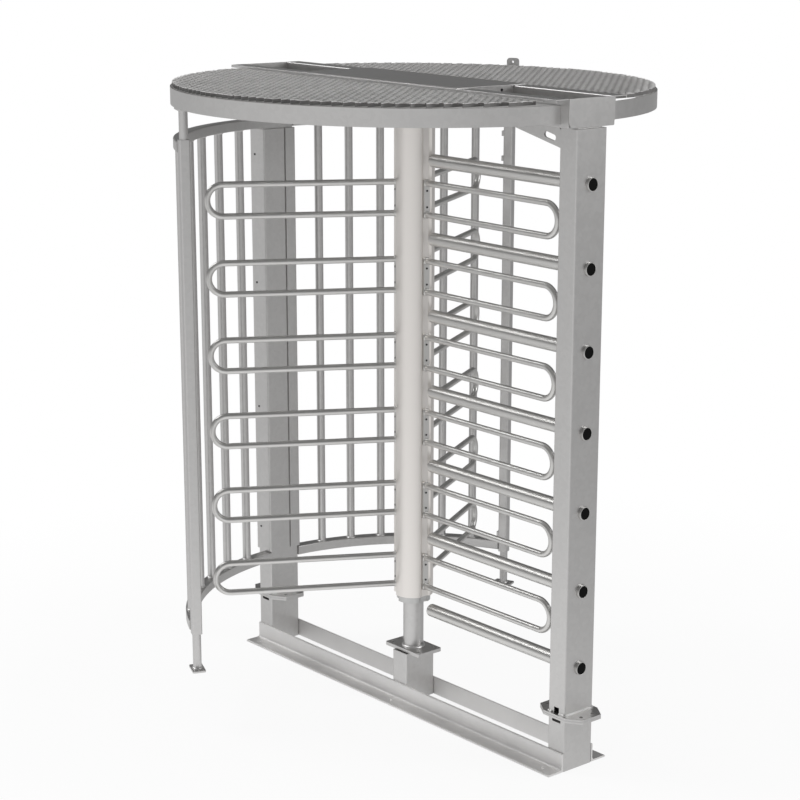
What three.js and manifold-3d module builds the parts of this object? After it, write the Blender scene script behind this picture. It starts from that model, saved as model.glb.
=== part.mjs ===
// Full height turnstile for one passage: a buried base frame, a portal of two posts and a trough
// header, a round roof of steel grating, a caged half with vertical bars, a fixed comb of
// horizontal bars and a three-wing rotor of bent tube hoops with its lock inside the header.
// Millimetres. Z is up, the rotor turns about Z, X runs along the portal to the comb post and the
// passage runs along Y. The origin is on the rotor axis at the underside of the base frame.

import * as THREE from 'three';
import { mergeVertices } from 'three/addons/utils/BufferGeometryUtils.js';
import Module from 'manifold-3d';

const wasm = await Module();
wasm.setup();

// General clearances
const FIT_GAP = 0.3;
const RUN_GAP = 0.5;
const CUT_OVERRUN = 20;
const WELD_BITE = 2;
const WELD_LAND = 0.5;

// Radius of the cage rings, which the posts, header, base, roof and hoops follow
const RING_RADIUS = 889.6;
const POST_PAST_RING = 23.1;
const HEADER_PAST_POST = 38.3;
const BASE_PAST_POST = 42.3;
const RIM_PAST_RING = 30.1;
const GRATING_INSIDE_RIM = 7.7;
const HOOP_INSIDE_RING = 83.6;

// Levels
const STUB_TOP = 205;
const POST_TOP = 2392;
const HEAD_PLATE_THICK = 4.2;
const HEADER_BOTTOM = POST_TOP + HEAD_PLATE_THICK + FIT_GAP;
const HEADER_DEPTH = 102.5;
const HEADER_TOP = HEADER_BOTTOM + HEADER_DEPTH;

// Portal posts and base stubs, all cut from the same rectangular tube
const POST_AXIS_X = RING_RADIUS + POST_PAST_RING;
const POST_WIDTH = 86;
const POST_DEPTH = 146;
const POST_WALL = 5;
const POST_CORNER = 10;
const HEAD_PLATE_INSET = 12;

// Base angles
const BASE_HALF_LENGTH = POST_AXIS_X + BASE_PAST_POST;
const ANGLE_LEG = 74;
const ANGLE_FLANGE = 76;
const ANGLE_THICK = 8;
const ANGLE_ROOT_RADIUS = 9;
const ANGLE_TOE_RADIUS = 4;
const ANCHOR_HOLE_RADIUS = 7;
const ANCHOR_HOLE_INSET = 65;
const ANCHOR_HOLE_OUT = 45;

// Foot plates of the posts
const FOOT_LENGTH = 230;
const FOOT_WIDTH = 170;
const FOOT_THICK = 9;
const FOOT_CHAMFER_X = 57;
const FOOT_CHAMFER_Y = 38;
const FOOT_HOLE_RADIUS = 7;
const FOOT_HOLE_X = 88;
const FOOT_HOLE_Y = 30;
const CABLE_NOTCH_WIDTH = 26;
const CABLE_NOTCH_HEIGHT = 24;
const STUB_OPENING_WIDTH = 44;
const STUB_OPENING_HEIGHT = 17;

// Comb of fixed horizontal bars
const COMB_COUNT = 7;
const COMB_ABOVE_STUB = 193;
const COMB_UNDER_POST_TOP = 194;
const COMB_FIRST_Z = STUB_TOP + COMB_ABOVE_STUB;
const COMB_PITCH = (POST_TOP - COMB_UNDER_POST_TOP - COMB_FIRST_Z) / (COMB_COUNT - 1);
const COMB_RADIUS = 25.5;
const COMB_WALL = 2.5;
const COMB_INNER_X = 100;
const COMB_STANDOUT = 11;
const COMB_DOME_LENGTH = 14;

// Header trough, a top hat section with turned down lips
const HEADER_HALF_LENGTH = POST_AXIS_X + HEADER_PAST_POST;
const HEADER_HALF_WIDTH = 113;
const HEADER_LIP_WIDTH = 59.5;
const HEADER_LIP_REACH = HEADER_HALF_WIDTH + HEADER_LIP_WIDTH;
const HEADER_SHEET = 4;
const HEADER_LIP_DROP = 10.5;
const HEADER_END_THICK = 4;
const HEADER_END_CHAMFER_Y = 9;
const HEADER_END_CHAMFER_Z = 24;

// Gussets under the header at the comb post
const GUSSET_THICK = 8;
const GUSSET_LENGTH = 295;
const GUSSET_HEIGHT = 75;
const GUSSET_TIP = 8;
const GUSSET_COPE = 12;
const GUSSET_SLOT_LENGTH = 60;
const GUSSET_SLOT_WIDTH = 22;
const GUSSET_SLOT_BACK = 50;
const GUSSET_SLOT_DOWN = 37;

// Lid with folded ends that covers the lock inside the trough
const LID_COMB_X = 435;
const LID_CAGE_X = -480;
const LID_SHEET = 3;
const LID_EDGE_INSET = 2;
const LID_CABLE_HOLE_RADIUS = 6;
const LID_CABLE_HOLE_DROP = 15;
const LID_CABLE_HOLE_Y = 50;
const LID_WIRE_HOLE_RADIUS = 2.5;
const LID_WIRE_HOLE_Y = -78;

// Roof rims, ribs and gratings
const RIM_RADIUS = RING_RADIUS + RIM_PAST_RING;
const RIM_SHEET = 6;
const RIM_ABOVE_HEADER_BOTTOM = 12.8;
const RIM_HEIGHT = 66.3;
const RIM_BOTTOM = HEADER_BOTTOM + RIM_ABOVE_HEADER_BOTTOM;
const RIM_TOP = RIM_BOTTOM + RIM_HEIGHT;
const RIB_X = 348.2;
const RIB_HEIGHT = 50;
const GRATING_RADIUS = RIM_RADIUS - GRATING_INSIDE_RIM;
const GRATING_PAST_LIP = 8.5;
const GRATING_CHORD_Y = HEADER_LIP_REACH + GRATING_PAST_LIP;
const GRATING_HEIGHT = 16;
const GRATING_PITCH = 100;
const GRATING_BAR = 6;
const GRATING_BORDER = 7;
const SMALLEST_CELL_SHARE = 0.12;

// Fence tab outside the rear rim
const TAB_AZIMUTH = THREE.MathUtils.degToRad(113.2);
const TAB_WIDTH = 54;
const TAB_THICK = 8;
const TAB_DROP = 50;
const TAB_RISE = 44;
const TAB_HOLE_RADIUS = 5.5;
const TAB_HOLE_DOWN = 16;

// Cage rings, bars, pillars and end angles
const RING_WIDTH = 48;
const RING_HEIGHT = 40;
const RING_WALL = 3;
const RING_ABOVE_STUB = 169;
const RING_UNDER_POST_TOP = 149;
const RING_LOW_Z = STUB_TOP + RING_ABOVE_STUB;
const RING_HIGH_Z = POST_TOP - RING_UNDER_POST_TOP;
const BAR_COUNT = 6;
const BAR_RADIUS = 17;
const BAR_WALL = 2;
const BAR_FIRST_AZIMUTH = THREE.MathUtils.degToRad(122.8);
const BAR_STEP_AZIMUTH = THREE.MathUtils.degToRad(8.8);
const PILLAR_AZIMUTH = THREE.MathUtils.degToRad(113);
const PILLAR_SIDE = 40;
const PILLAR_WALL = 2.8;
const PILLAR_CORNER = 6;
const PILLAR_PAST_RING = 9;
const CORE_RADIUS = 16.8;
const CORE_WALL = 3;
const CORE_PLATE_LENGTH = 96;
const CORE_PLATE_WIDTH = 58;
const CORE_PLATE_THICK = 8;
const CORE_PLATE_CORNER = 9;
const CORE_PLATE_HOLE_RADIUS = 5.5;
const CORE_PLATE_HOLE_OUT = 34;
const WRAP_THICK = 7.5;
const WRAP_FRONT_REACH = 103;
const WRAP_SEAM = 7;
const WRAP_END_GAP = 5;

// Rotor column, a three-lobe profile with a flat floor for the hoop plates in each valley
const WING_COUNT = 3;
const COLUMN_RADIUS = 79;
const COLUMN_BORE = 62;
const COLUMN_FLOOR = 67.5;
const COLUMN_FLOOR_HALF = 14.8;
const COLUMN_SHOULDER = THREE.MathUtils.degToRad(18);
const FOOT_TUBE_RISE = 205;
const FOOT_TUBE_TOP = STUB_TOP + FOOT_TUBE_RISE;
const COLUMN_ABOVE_FOOT = 35;
const COLUMN_UNDER_HEADER = 8.5;
const COLUMN_BOTTOM = FOOT_TUBE_TOP + COLUMN_ABOVE_FOOT;
const COLUMN_TOP = HEADER_BOTTOM - COLUMN_UNDER_HEADER;
const COLLAR_HEIGHT = 26.5;
const COLLAR_RADIUS = 68;
const COLLAR_FLOOR = 60;
const COLLAR_REGISTER = 16;

// Hoops
const HOOP_COUNT = 6;
const HOOP_ABOVE_MIDDLE = 0.5;
const HOOP_PITCH = COMB_PITCH;
const HOOP_FIRST_Z = COMB_FIRST_Z + COMB_PITCH / 2 + HOOP_ABOVE_MIDDLE;
const HOOP_HALF_SPACING = 60.5;
const HOOP_TUBE_RADIUS = 12;
const HOOP_REACH = RING_RADIUS - HOOP_INSIDE_RING;
const HOOP_PLATE_THICK = 7.5;
const HOOP_PLATE_WIDTH = 28;
const HOOP_PLATE_HEIGHT = 146;

// Rotor foot and bearings
const SPIGOT_RADIUS = 20;
const FOOT_TUBE_RADIUS = 41;
const FOOT_TUBE_WALL = 6;
const FOOT_TUBE_CAP = 10;
const SPIGOT_LENGTH = 48;
const SPIGOT_CHAMFER = 3;
const ROTOR_PLATE_LENGTH = 208;
const ROTOR_PLATE_WIDTH = 124;
const ROTOR_PLATE_THICK = 15;
const ROTOR_PLATE_CORNER = 8;
const ROTOR_PLATE_HOLE_X = 82;
const ROTOR_PLATE_HOLE_Y = 44;
const CABLE_BORE = 16;
const THRUST_OUTER = 36;
const FOOT_WELD_LEG = 6;
const SHAFT_FLANGE_THICK = 20;
const SHAFT_PAST_HUB = 21.9;
const HOUSING_FLANGE_RADIUS = 58;
const HOUSING_FLANGE_THICK = 8;
const HOUSING_BOSS_RADIUS = 36;
const HOUSING_HEIGHT = 24;
const HEADER_SHAFT_HOLE = 26;

// Lock: notched disc, two pawls on pins, two solenoids on a bed
const PAWL_PIVOT_X = 70;
const PIVOT_INSIDE_HEADER = 23;
const PAWL_PIVOT_Y = HEADER_HALF_WIDTH - PIVOT_INSIDE_HEADER;
const DISC_INSIDE_PIVOT = 15;
const DISC_RADIUS = PAWL_PIVOT_Y - DISC_INSIDE_PIVOT;
const DISC_THICK = 12;
const DISC_NOTCHES = 12;
const DISC_NOTCH_DEPTH = 13;
const DISC_NOTCH_HALF_TOP = 11.5;
const DISC_NOTCH_HALF_FLOOR = 9.5;
const DISC_HUB_RADIUS = 32;
const DISC_HUB_BELOW = 5;
const DISC_HUB_ABOVE = 12;
const BED_HALF_LENGTH = 190;
const BED_INSIDE_HEADER = 9;
const BED_HALF_WIDTH = HEADER_HALF_WIDTH - BED_INSIDE_HEADER;
const BED_THICK = 6;
const BED_CORNER = 12;
const PAWL_PIN_RADIUS = 6;
const PAWL_BOSS_RADIUS = 12;
const PAWL_ARM_HALF = 6;
const ARM_PAST_PIVOT = 2;
const PAWL_ARM_Y = PAWL_PIVOT_Y + ARM_PAST_PIVOT;
const PAWL_NOSE_HALF = 6;
const PAWL_NOSE_CLEAR = 3;
const PAWL_TAIL_X = 125;
const PIN_STANDUP = 4;
const SOLENOID_LENGTH = 44;
const SOLENOID_DEPTH = 46;
const SOLENOID_HEIGHT = 44;
const SOLENOID_X = 118;
const SOLENOID_INSIDE_PIVOT = 50;
const SOLENOID_Y = PAWL_PIVOT_Y - SOLENOID_INSIDE_PIVOT;
const SOLENOID_CORNER = 5;
const PLUNGER_RADIUS = 5;

// Facet counts
const ROUND_SIDES = 16;
const COMB_SIDES = 12;
const BAR_SIDES = 10;
const HOLE_SIDES = 8;
const HOOP_SIDES = 8;
const BEND_STEPS = 6;
const DOME_STEPS = 2;
const CORNER_STEPS = 2;
const LOBE_STEPS = 8;
const RING_STEPS = 10;
const RIM_STEPS = 32;

const FULL_TURN = Math.PI * 2;
const WING_STEP = FULL_TURN / WING_COUNT;

// Places worked out from the sizes above
const postInner = POST_AXIS_X - POST_WIDTH / 2;
const postOuter = POST_AXIS_X + POST_WIDTH / 2;
const postFaceY = POST_DEPTH / 2;
const stubPlateBottom = STUB_TOP;
const stubPlateTop = stubPlateBottom + FOOT_THICK;
const postFootTop = stubPlateTop + FOOT_THICK;
const combOuterX = postOuter + COMB_STANDOUT;
const troughFloor = HEADER_BOTTOM + HEADER_SHEET;
const troughInner = HEADER_HALF_WIDTH - HEADER_SHEET;
const collarBottom = COLUMN_BOTTOM - FIT_GAP - COLLAR_HEIGHT;
const platesOuterR = COLUMN_FLOOR + FIT_GAP + HOOP_PLATE_THICK;
const discBottom = troughFloor + FIT_GAP + HOUSING_HEIGHT + FIT_GAP + DISC_HUB_BELOW;
const discTop = discBottom + DISC_THICK;
const shaftTop = discTop + DISC_HUB_ABOVE + SHAFT_PAST_HUB;
const bedBottom = troughFloor + FIT_GAP;
const bedTop = bedBottom + BED_THICK;

// Finishes
const finish = (color, roughness, metalness) => new THREE.MeshStandardMaterial({ color, roughness, metalness });
const galvanised = () => finish(0xadacaa, 0.5, 0.6);
const barSteel = () => finish(0xb9b9b7, 0.3, 0.85);
const columnSteel = () => finish(0xd0cdca, 0.4, 0.5);
const gratingSteel = () => finish(0xa5a5a3, 0.55, 0.6);
const machinedSteel = () => finish(0x9a9da0, 0.3, 0.9);
const blackPlastic = () => finish(0x121212, 0.5, 0);
const bronze = () => finish(0x9a7b45, 0.4, 0.8);

// Point on a circle, as an outline point
function polar(radius, angle, centreX = 0, centreY = 0) {
  return new THREE.Vector2(centreX + radius * Math.cos(angle), centreY + radius * Math.sin(angle));
}

// Points along an arc, ends included
function arc(radius, from, to, steps, centreX = 0, centreY = 0) {
  const points = [];
  for (let i = 0; i <= steps; i += 1) {
    points.push(polar(radius, from + ((to - from) * i) / steps, centreX, centreY));
  }
  return points;
}

// Closed circle of flats, without its repeated end point
function circle(radius, sides, centreX = 0, centreY = 0) {
  return arc(radius, 0, FULL_TURN, sides, centreX, centreY).slice(0, sides);
}

// Rectangle centred on a point, with round corners
function roundedRectangle(width, height, radius, centreX = 0, centreY = 0) {
  const points = [];
  const x = width / 2 - radius;
  const y = height / 2 - radius;
  const corners = [[x, y], [-x, y], [-x, -y], [x, -y]];
  corners.forEach(([cx, cy], quarter) => {
    const start = (quarter * Math.PI) / 2;
    points.push(...arc(radius, start, start + Math.PI / 2, CORNER_STEPS, centreX + cx, centreY + cy));
  });
  return points;
}

// Plain rectangle from two corners
function rectangle(x0, y0, x1, y1) {
  return [[x0, y0], [x1, y0], [x1, y1], [x0, y1]].map(([x, y]) => new THREE.Vector2(x, y));
}

// Outline, with optional holes, raised from one level to another
function prism(outline, low, high, holes = []) {
  const shape = new THREE.Shape(outline);
  shape.holes = holes.map((hole) => new THREE.Path(hole));
  const geometry = new THREE.ExtrudeGeometry(shape, { depth: high - low, bevelEnabled: false });
  return geometry.translate(0, 0, low);
}

// Turns a profile drawn in (Y, Z) and raised along Z so that it runs along X
function alongX(geometry) {
  const turn = new THREE.Matrix4().makeBasis(
    new THREE.Vector3(0, 1, 0),
    new THREE.Vector3(0, 0, 1),
    new THREE.Vector3(1, 0, 0),
  );
  return geometry.applyMatrix4(turn);
}

// Turns a plate drawn in (X, Z) and raised along Z so that its thickness runs along -Y
function alongY(geometry) {
  return geometry.applyMatrix4(new THREE.Matrix4().makeRotationX(Math.PI / 2));
}

// Revolves (radius, height) pairs about Z
function revolve(pairs, sides = ROUND_SIDES) {
  const profile = pairs.map(([radius, height]) => new THREE.Vector2(radius, height));
  return new THREE.LatheGeometry(profile, sides).applyMatrix4(new THREE.Matrix4().makeRotationX(Math.PI / 2));
}

// Copy of a geometry reflected in the plane Y = 0, with its faces still pointing out
function mirrorY(geometry) {
  const copy = (geometry.index ? geometry.toNonIndexed() : geometry.clone()).scale(1, -1, 1);
  const position = copy.attributes.position;
  const count = position.count / 3;
  for (let i = 0; i < count; i += 1) {
    const second = new THREE.Vector3().fromBufferAttribute(position, i * 3 + 1);
    const third = new THREE.Vector3().fromBufferAttribute(position, i * 3 + 2);
    position.setXYZ(i * 3 + 1, third.x, third.y, third.z);
    position.setXYZ(i * 3 + 2, second.x, second.y, second.z);
  }
  return copy;
}

// Geometry with shared corners and no triangles of zero area
function welded(geometry) {
  const bare = geometry.clone();
  bare.deleteAttribute('normal');
  bare.deleteAttribute('uv');
  const merged = mergeVertices(bare);
  const index = merged.index.array;
  const kept = [];
  for (let i = 0; i < index.length; i += 3) {
    const [a, b, c] = [index[i], index[i + 1], index[i + 2]];
    if (a !== b && b !== c && c !== a) {
      kept.push(a, b, c);
    }
  }
  merged.setIndex(kept);
  return merged;
}

// Solid for joining and cutting
function solid(geometry) {
  const merged = welded(geometry);
  const vertProperties = new Float32Array(merged.attributes.position.array);
  const triVerts = new Uint32Array(merged.index.array);
  return new wasm.Manifold(new wasm.Mesh({ numProp: 3, vertProperties, triVerts }));
}

// Geometry of a solid
function shell(body) {
  const mesh = body.getMesh();
  const geometry = new THREE.BufferGeometry();
  geometry.setAttribute('position', new THREE.BufferAttribute(mesh.vertProperties, 3));
  geometry.setIndex(new THREE.BufferAttribute(mesh.triVerts, 1));
  return geometry;
}

// Joins geometries into one body
function join(...geometries) {
  return shell(geometries.map(solid).reduce((whole, piece) => whole.add(piece)));
}

// Cuts geometries out of a body
function cut(geometry, ...tools) {
  return shell(tools.map(solid).reduce((whole, tool) => whole.subtract(tool), solid(geometry)));
}

// Named piece of the turnstile
function piece(name, geometry, material) {
  const closed = welded(geometry);
  closed.computeVertexNormals();
  const mesh = new THREE.Mesh(closed, material);
  mesh.name = name;
  return mesh;
}

// Cylinder about a line parallel to X, Y or Z
function rod(axis, radius, low, high, sides, first, second) {
  const along = prism(circle(radius, sides), low, high);
  if (axis === 'x') {
    return alongX(along).translate(0, first, second);
  }
  if (axis === 'y') {
    const turned = along.applyMatrix4(new THREE.Matrix4().makeRotationX(-Math.PI / 2));
    return turned.translate(first, 0, second);
  }
  return along.translate(first, second, 0);
}

// Path of straight legs and one round bend, with no more steps than the bend needs
class HoopPath extends THREE.Curve {
  constructor(start, bendX, radius) {
    super();
    this.start = start;
    this.bendX = bendX;
    this.radius = radius;
    this.count = BEND_STEPS + 2;
  }

  getUtoTmapping(u) {
    return u;
  }

  station(t) {
    return Math.min(Math.max(Math.round(t * this.count), 0), this.count);
  }

  bendAngle(t) {
    const step = Math.min(Math.max(this.station(t) - 1, 0), BEND_STEPS);
    return -Math.PI / 2 + (Math.PI * step) / BEND_STEPS;
  }

  getPoint(t) {
    const station = this.station(t);
    const onLeg = station === 0 || station === this.count;
    const side = station === 0 ? -1 : 1;
    if (onLeg) {
      return new THREE.Vector3(this.start, 0, side * this.radius);
    }
    const angle = this.bendAngle(t);
    return new THREE.Vector3(
      this.bendX + this.radius * Math.cos(angle),
      0,
      this.radius * Math.sin(angle),
    );
  }

  getTangent(t) {
    const angle = this.bendAngle(t);
    return new THREE.Vector3(-Math.sin(angle), 0, Math.cos(angle));
  }
}

// Base frame

function baseAngleProfile() {
  const near = -postFaceY - FIT_GAP;
  const legOut = near - ANGLE_THICK;
  const rootY = legOut - ANGLE_ROOT_RADIUS;
  const rootZ = ANGLE_THICK + ANGLE_ROOT_RADIUS;
  const flangeEnd = near - ANGLE_FLANGE;
  const legToe = [legOut + ANGLE_TOE_RADIUS, ANGLE_LEG - ANGLE_TOE_RADIUS];
  const flangeToe = [flangeEnd + ANGLE_TOE_RADIUS, ANGLE_THICK - ANGLE_TOE_RADIUS];
  return [
    new THREE.Vector2(near, 0),
    new THREE.Vector2(near, ANGLE_LEG),
    ...arc(ANGLE_TOE_RADIUS, Math.PI / 2, Math.PI, CORNER_STEPS, ...legToe),
    ...arc(ANGLE_ROOT_RADIUS, 0, -Math.PI / 2, CORNER_STEPS, rootY, rootZ),
    ...arc(ANGLE_TOE_RADIUS, Math.PI / 2, Math.PI, CORNER_STEPS, ...flangeToe),
    new THREE.Vector2(flangeEnd, 0),
  ];
}

function baseAngle() {
  const bar = alongX(prism(baseAngleProfile(), -BASE_HALF_LENGTH, BASE_HALF_LENGTH));
  const holeX = BASE_HALF_LENGTH - ANCHOR_HOLE_INSET;
  const holeY = -postFaceY - ANCHOR_HOLE_OUT;
  const holes = [-holeX, 0, holeX].map((x) => (
    rod('z', ANCHOR_HOLE_RADIUS, -CUT_OVERRUN, ANGLE_THICK + CUT_OVERRUN, HOLE_SIDES, x, holeY)
  ));
  return cut(bar, ...holes);
}

function boxTube(low, high, centreX) {
  const outer = roundedRectangle(POST_WIDTH, POST_DEPTH, POST_CORNER, centreX);
  const bore = roundedRectangle(
    POST_WIDTH - 2 * POST_WALL,
    POST_DEPTH - 2 * POST_WALL,
    POST_CORNER - POST_WALL,
    centreX,
  );
  return prism(outer, low, high, [bore]);
}

// Plate with cut corners, a cable opening and four holes
function footPlate(centreX, low) {
  const x = FOOT_LENGTH / 2;
  const y = FOOT_WIDTH / 2;
  const innerX = x - FOOT_CHAMFER_X;
  const innerY = y - FOOT_CHAMFER_Y;
  const corners = [
    [x, -innerY], [x, innerY], [innerX, y], [-innerX, y],
    [-x, innerY], [-x, -innerY], [-innerX, -y], [innerX, -y],
  ];
  const outline = corners.map(([px, py]) => new THREE.Vector2(centreX + px, py));
  const holes = [];
  [-1, 1].forEach((sx) => {
    [-1, 1].forEach((sy) => {
      holes.push(circle(FOOT_HOLE_RADIUS, HOLE_SIDES, centreX + sx * FOOT_HOLE_X, sy * FOOT_HOLE_Y));
    });
  });
  holes.push(circle(CABLE_BORE, HOLE_SIDES, centreX));
  return prism(outline, low, low + FOOT_THICK, holes);
}

// Opening for a cable through the front wall of a post or a stub
function frontWallOpening(centreX, width, low, high) {
  const near = -postFaceY - CUT_OVERRUN / 2;
  const far = -postFaceY + POST_WALL * 2;
  return prism(rectangle(centreX - width / 2, near, centreX + width / 2, far), low, high);
}

// Stub under a post, with a cable opening below its plate
function postStub(centreX) {
  const stub = join(boxTube(0, stubPlateBottom + WELD_BITE, centreX), footPlate(centreX, stubPlateBottom));
  const low = stubPlateBottom - STUB_OPENING_HEIGHT;
  return cut(stub, frontWallOpening(centreX, STUB_OPENING_WIDTH, low, stubPlateBottom + WELD_LAND));
}

// Posts

function post(centreX) {
  const tube = boxTube(postFootTop - WELD_BITE, POST_TOP, centreX);
  const head = prism(
    roundedRectangle(
      POST_WIDTH - 2 * HEAD_PLATE_INSET,
      POST_DEPTH - 2 * HEAD_PLATE_INSET,
      POST_CORNER,
      centreX,
    ),
    POST_TOP,
    POST_TOP + HEAD_PLATE_THICK,
    [circle(CABLE_BORE, HOLE_SIDES, centreX)],
  );
  const cap = prism(
    roundedRectangle(POST_WIDTH - POST_WALL, POST_DEPTH - POST_WALL, POST_CORNER - POST_WALL / 2, centreX),
    POST_TOP - POST_WALL,
    POST_TOP + WELD_BITE / 2,
    [circle(CABLE_BORE, HOLE_SIDES, centreX)],
  );
  return join(tube, cap, head, footPlate(centreX, stubPlateTop));
}

function combPost() {
  const bores = [];
  const from = postInner - CUT_OVERRUN;
  const to = postOuter + CUT_OVERRUN;
  for (let i = 0; i < COMB_COUNT; i += 1) {
    bores.push(rod('x', COMB_RADIUS + FIT_GAP, from, to, COMB_SIDES, 0, COMB_FIRST_Z + i * COMB_PITCH));
  }
  const notch = frontWallOpening(
    POST_AXIS_X,
    CABLE_NOTCH_WIDTH,
    postFootTop,
    postFootTop + CABLE_NOTCH_HEIGHT,
  );
  return cut(post(POST_AXIS_X), notch, ...bores);
}

// Tube with a domed inner end and an open outer end
function combBar() {
  const length = combOuterX - COMB_INNER_X;
  const outer = [];
  const inner = [];
  for (let i = 0; i <= DOME_STEPS; i += 1) {
    const angle = (Math.PI / 2) * (i / DOME_STEPS);
    outer.push([COMB_RADIUS * Math.sin(angle), COMB_DOME_LENGTH * (1 - Math.cos(angle))]);
    inner.push([
      (COMB_RADIUS - COMB_WALL) * Math.sin(angle),
      COMB_WALL + (COMB_DOME_LENGTH - COMB_WALL) * (1 - Math.cos(angle)),
    ]);
  }
  const profile = [...outer, [COMB_RADIUS, length], [COMB_RADIUS - COMB_WALL, length], ...inner.reverse()];
  const turn = new THREE.Matrix4().makeRotationY(Math.PI / 2);
  return revolve(profile, COMB_SIDES).applyMatrix4(turn).translate(COMB_INNER_X, 0, 0);
}

// Header

function headerTrough() {
  const wall = HEADER_HALF_WIDTH;
  const lip = HEADER_LIP_REACH;
  const sheet = HEADER_SHEET;
  const lipBottom = HEADER_TOP - HEADER_LIP_DROP;
  const half = [
    [wall, HEADER_BOTTOM], [wall, HEADER_TOP - sheet], [lip - sheet, HEADER_TOP - sheet],
    [lip - sheet, lipBottom], [lip, lipBottom], [lip, HEADER_TOP],
    [wall - sheet, HEADER_TOP], [wall - sheet, troughFloor],
  ];
  const right = half.map(([y, z]) => new THREE.Vector2(y, z));
  const left = half.map(([y, z]) => new THREE.Vector2(-y, z)).reverse();
  const trough = alongX(prism([...right, ...left], -HEADER_HALF_LENGTH, HEADER_HALF_LENGTH));
  const low = HEADER_BOTTOM - CUT_OVERRUN;
  const hole = rod('z', HEADER_SHAFT_HOLE, low, troughFloor + CUT_OVERRUN, ROUND_SIDES, 0, 0);
  const ends = [-1, 1].map((side) => headerEnd(side));
  return cut(join(trough, ...ends), hole);
}

// Closing plate of the trough with its two lower corners cut off
function headerEnd(side) {
  const y = HEADER_HALF_WIDTH - WELD_LAND;
  const low = HEADER_BOTTOM + WELD_LAND;
  const high = HEADER_TOP - WELD_LAND;
  const cutY = y - HEADER_END_CHAMFER_Y;
  const cutZ = low + HEADER_END_CHAMFER_Z;
  const outline = [
    [cutY, low], [y, cutZ], [y, high], [-y, high], [-y, cutZ], [-cutY, low],
  ].map(([py, pz]) => new THREE.Vector2(py, pz));
  const faces = [HEADER_HALF_LENGTH - WELD_BITE, HEADER_HALF_LENGTH + HEADER_END_THICK].map((x) => side * x);
  return alongX(prism(outline, Math.min(...faces), Math.max(...faces)));
}

function gusset() {
  const right = postInner - FIT_GAP;
  const top = HEADER_BOTTOM - FIT_GAP;
  const left = right - GUSSET_LENGTH;
  const outline = [
    [left, top], [left, top - GUSSET_TIP], [right, top - GUSSET_HEIGHT],
    [right, top - GUSSET_COPE], [right - GUSSET_COPE, top],
  ].map(([x, z]) => new THREE.Vector2(x, z));
  const slope = Math.atan2(GUSSET_HEIGHT - GUSSET_TIP, GUSSET_LENGTH);
  const end = GUSSET_SLOT_WIDTH / 2;
  const run = GUSSET_SLOT_LENGTH / 2 - end;
  const slot = [
    ...arc(end, -Math.PI / 2, Math.PI / 2, BEND_STEPS, run, 0),
    ...arc(end, Math.PI / 2, Math.PI * 1.5, BEND_STEPS, -run, 0),
  ];
  const centre = new THREE.Vector2(right - GUSSET_SLOT_BACK, top - GUSSET_SLOT_DOWN);
  const placed = slot.map((point) => point.rotateAround(new THREE.Vector2(), -slope).add(centre));
  return alongY(prism(outline, 0, GUSSET_THICK, [placed])).translate(0, -postFaceY + GUSSET_THICK, 0);
}

function mechanismLid() {
  const y = HEADER_LIP_REACH - LID_EDGE_INSET;
  const under = HEADER_TOP + FIT_GAP;
  const plate = prism(rectangle(LID_CAGE_X, -y, LID_COMB_X, y), under, under + LID_SHEET);
  const inner = troughInner - RUN_GAP;
  const wallBottom = troughFloor + RUN_GAP;
  const fold = rectangle(-inner, wallBottom, inner, under + WELD_BITE);
  const cageWall = alongX(prism(fold, LID_CAGE_X, LID_CAGE_X + LID_SHEET));
  const combWall = alongX(prism(fold, LID_COMB_X - LID_SHEET, LID_COMB_X));
  const holeZ = HEADER_TOP - LID_CABLE_HOLE_DROP;
  const low = LID_COMB_X - LID_SHEET - CUT_OVERRUN;
  const high = LID_COMB_X + CUT_OVERRUN;
  const cable = rod('x', LID_CABLE_HOLE_RADIUS, low, high, HOLE_SIDES, LID_CABLE_HOLE_Y, holeZ);
  const wire = rod('x', LID_WIRE_HOLE_RADIUS, low, high, HOLE_SIDES, LID_WIRE_HOLE_Y, holeZ);
  return cut(join(plate, cageWall, combWall), cable, wire);
}

// Roof

// Half disc below a chord, as an outline
function halfDisc(radius, chordY) {
  const start = Math.asin(chordY / radius);
  return arc(radius, -start, -Math.PI + start, RIM_STEPS);
}

// D-shaped frame of rim and chord on edge, with ribs between them that carry the grating
function roofRim() {
  const chordY = HEADER_HALF_WIDTH + FIT_GAP;
  const inner = RIM_RADIUS - RIM_SHEET;
  const disc = prism(halfDisc(RIM_RADIUS, chordY), RIM_BOTTOM, RIM_TOP);
  const core = prism(halfDisc(inner, chordY + RIM_SHEET), RIM_BOTTOM - CUT_OVERRUN, RIM_TOP + CUT_OVERRUN);
  const ribs = [-RIB_X, 0, RIB_X].map((x) => {
    const reach = Math.sqrt(inner ** 2 - x ** 2) + RIM_SHEET / 2;
    const near = chordY + RIM_SHEET / 2;
    const outline = rectangle(x - RIM_SHEET / 2, -reach, x + RIM_SHEET / 2, -near);
    return prism(outline, RIM_TOP - FIT_GAP - RIB_HEIGHT, RIM_TOP - FIT_GAP);
  });
  return join(cut(disc, core), ...ribs);
}

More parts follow.
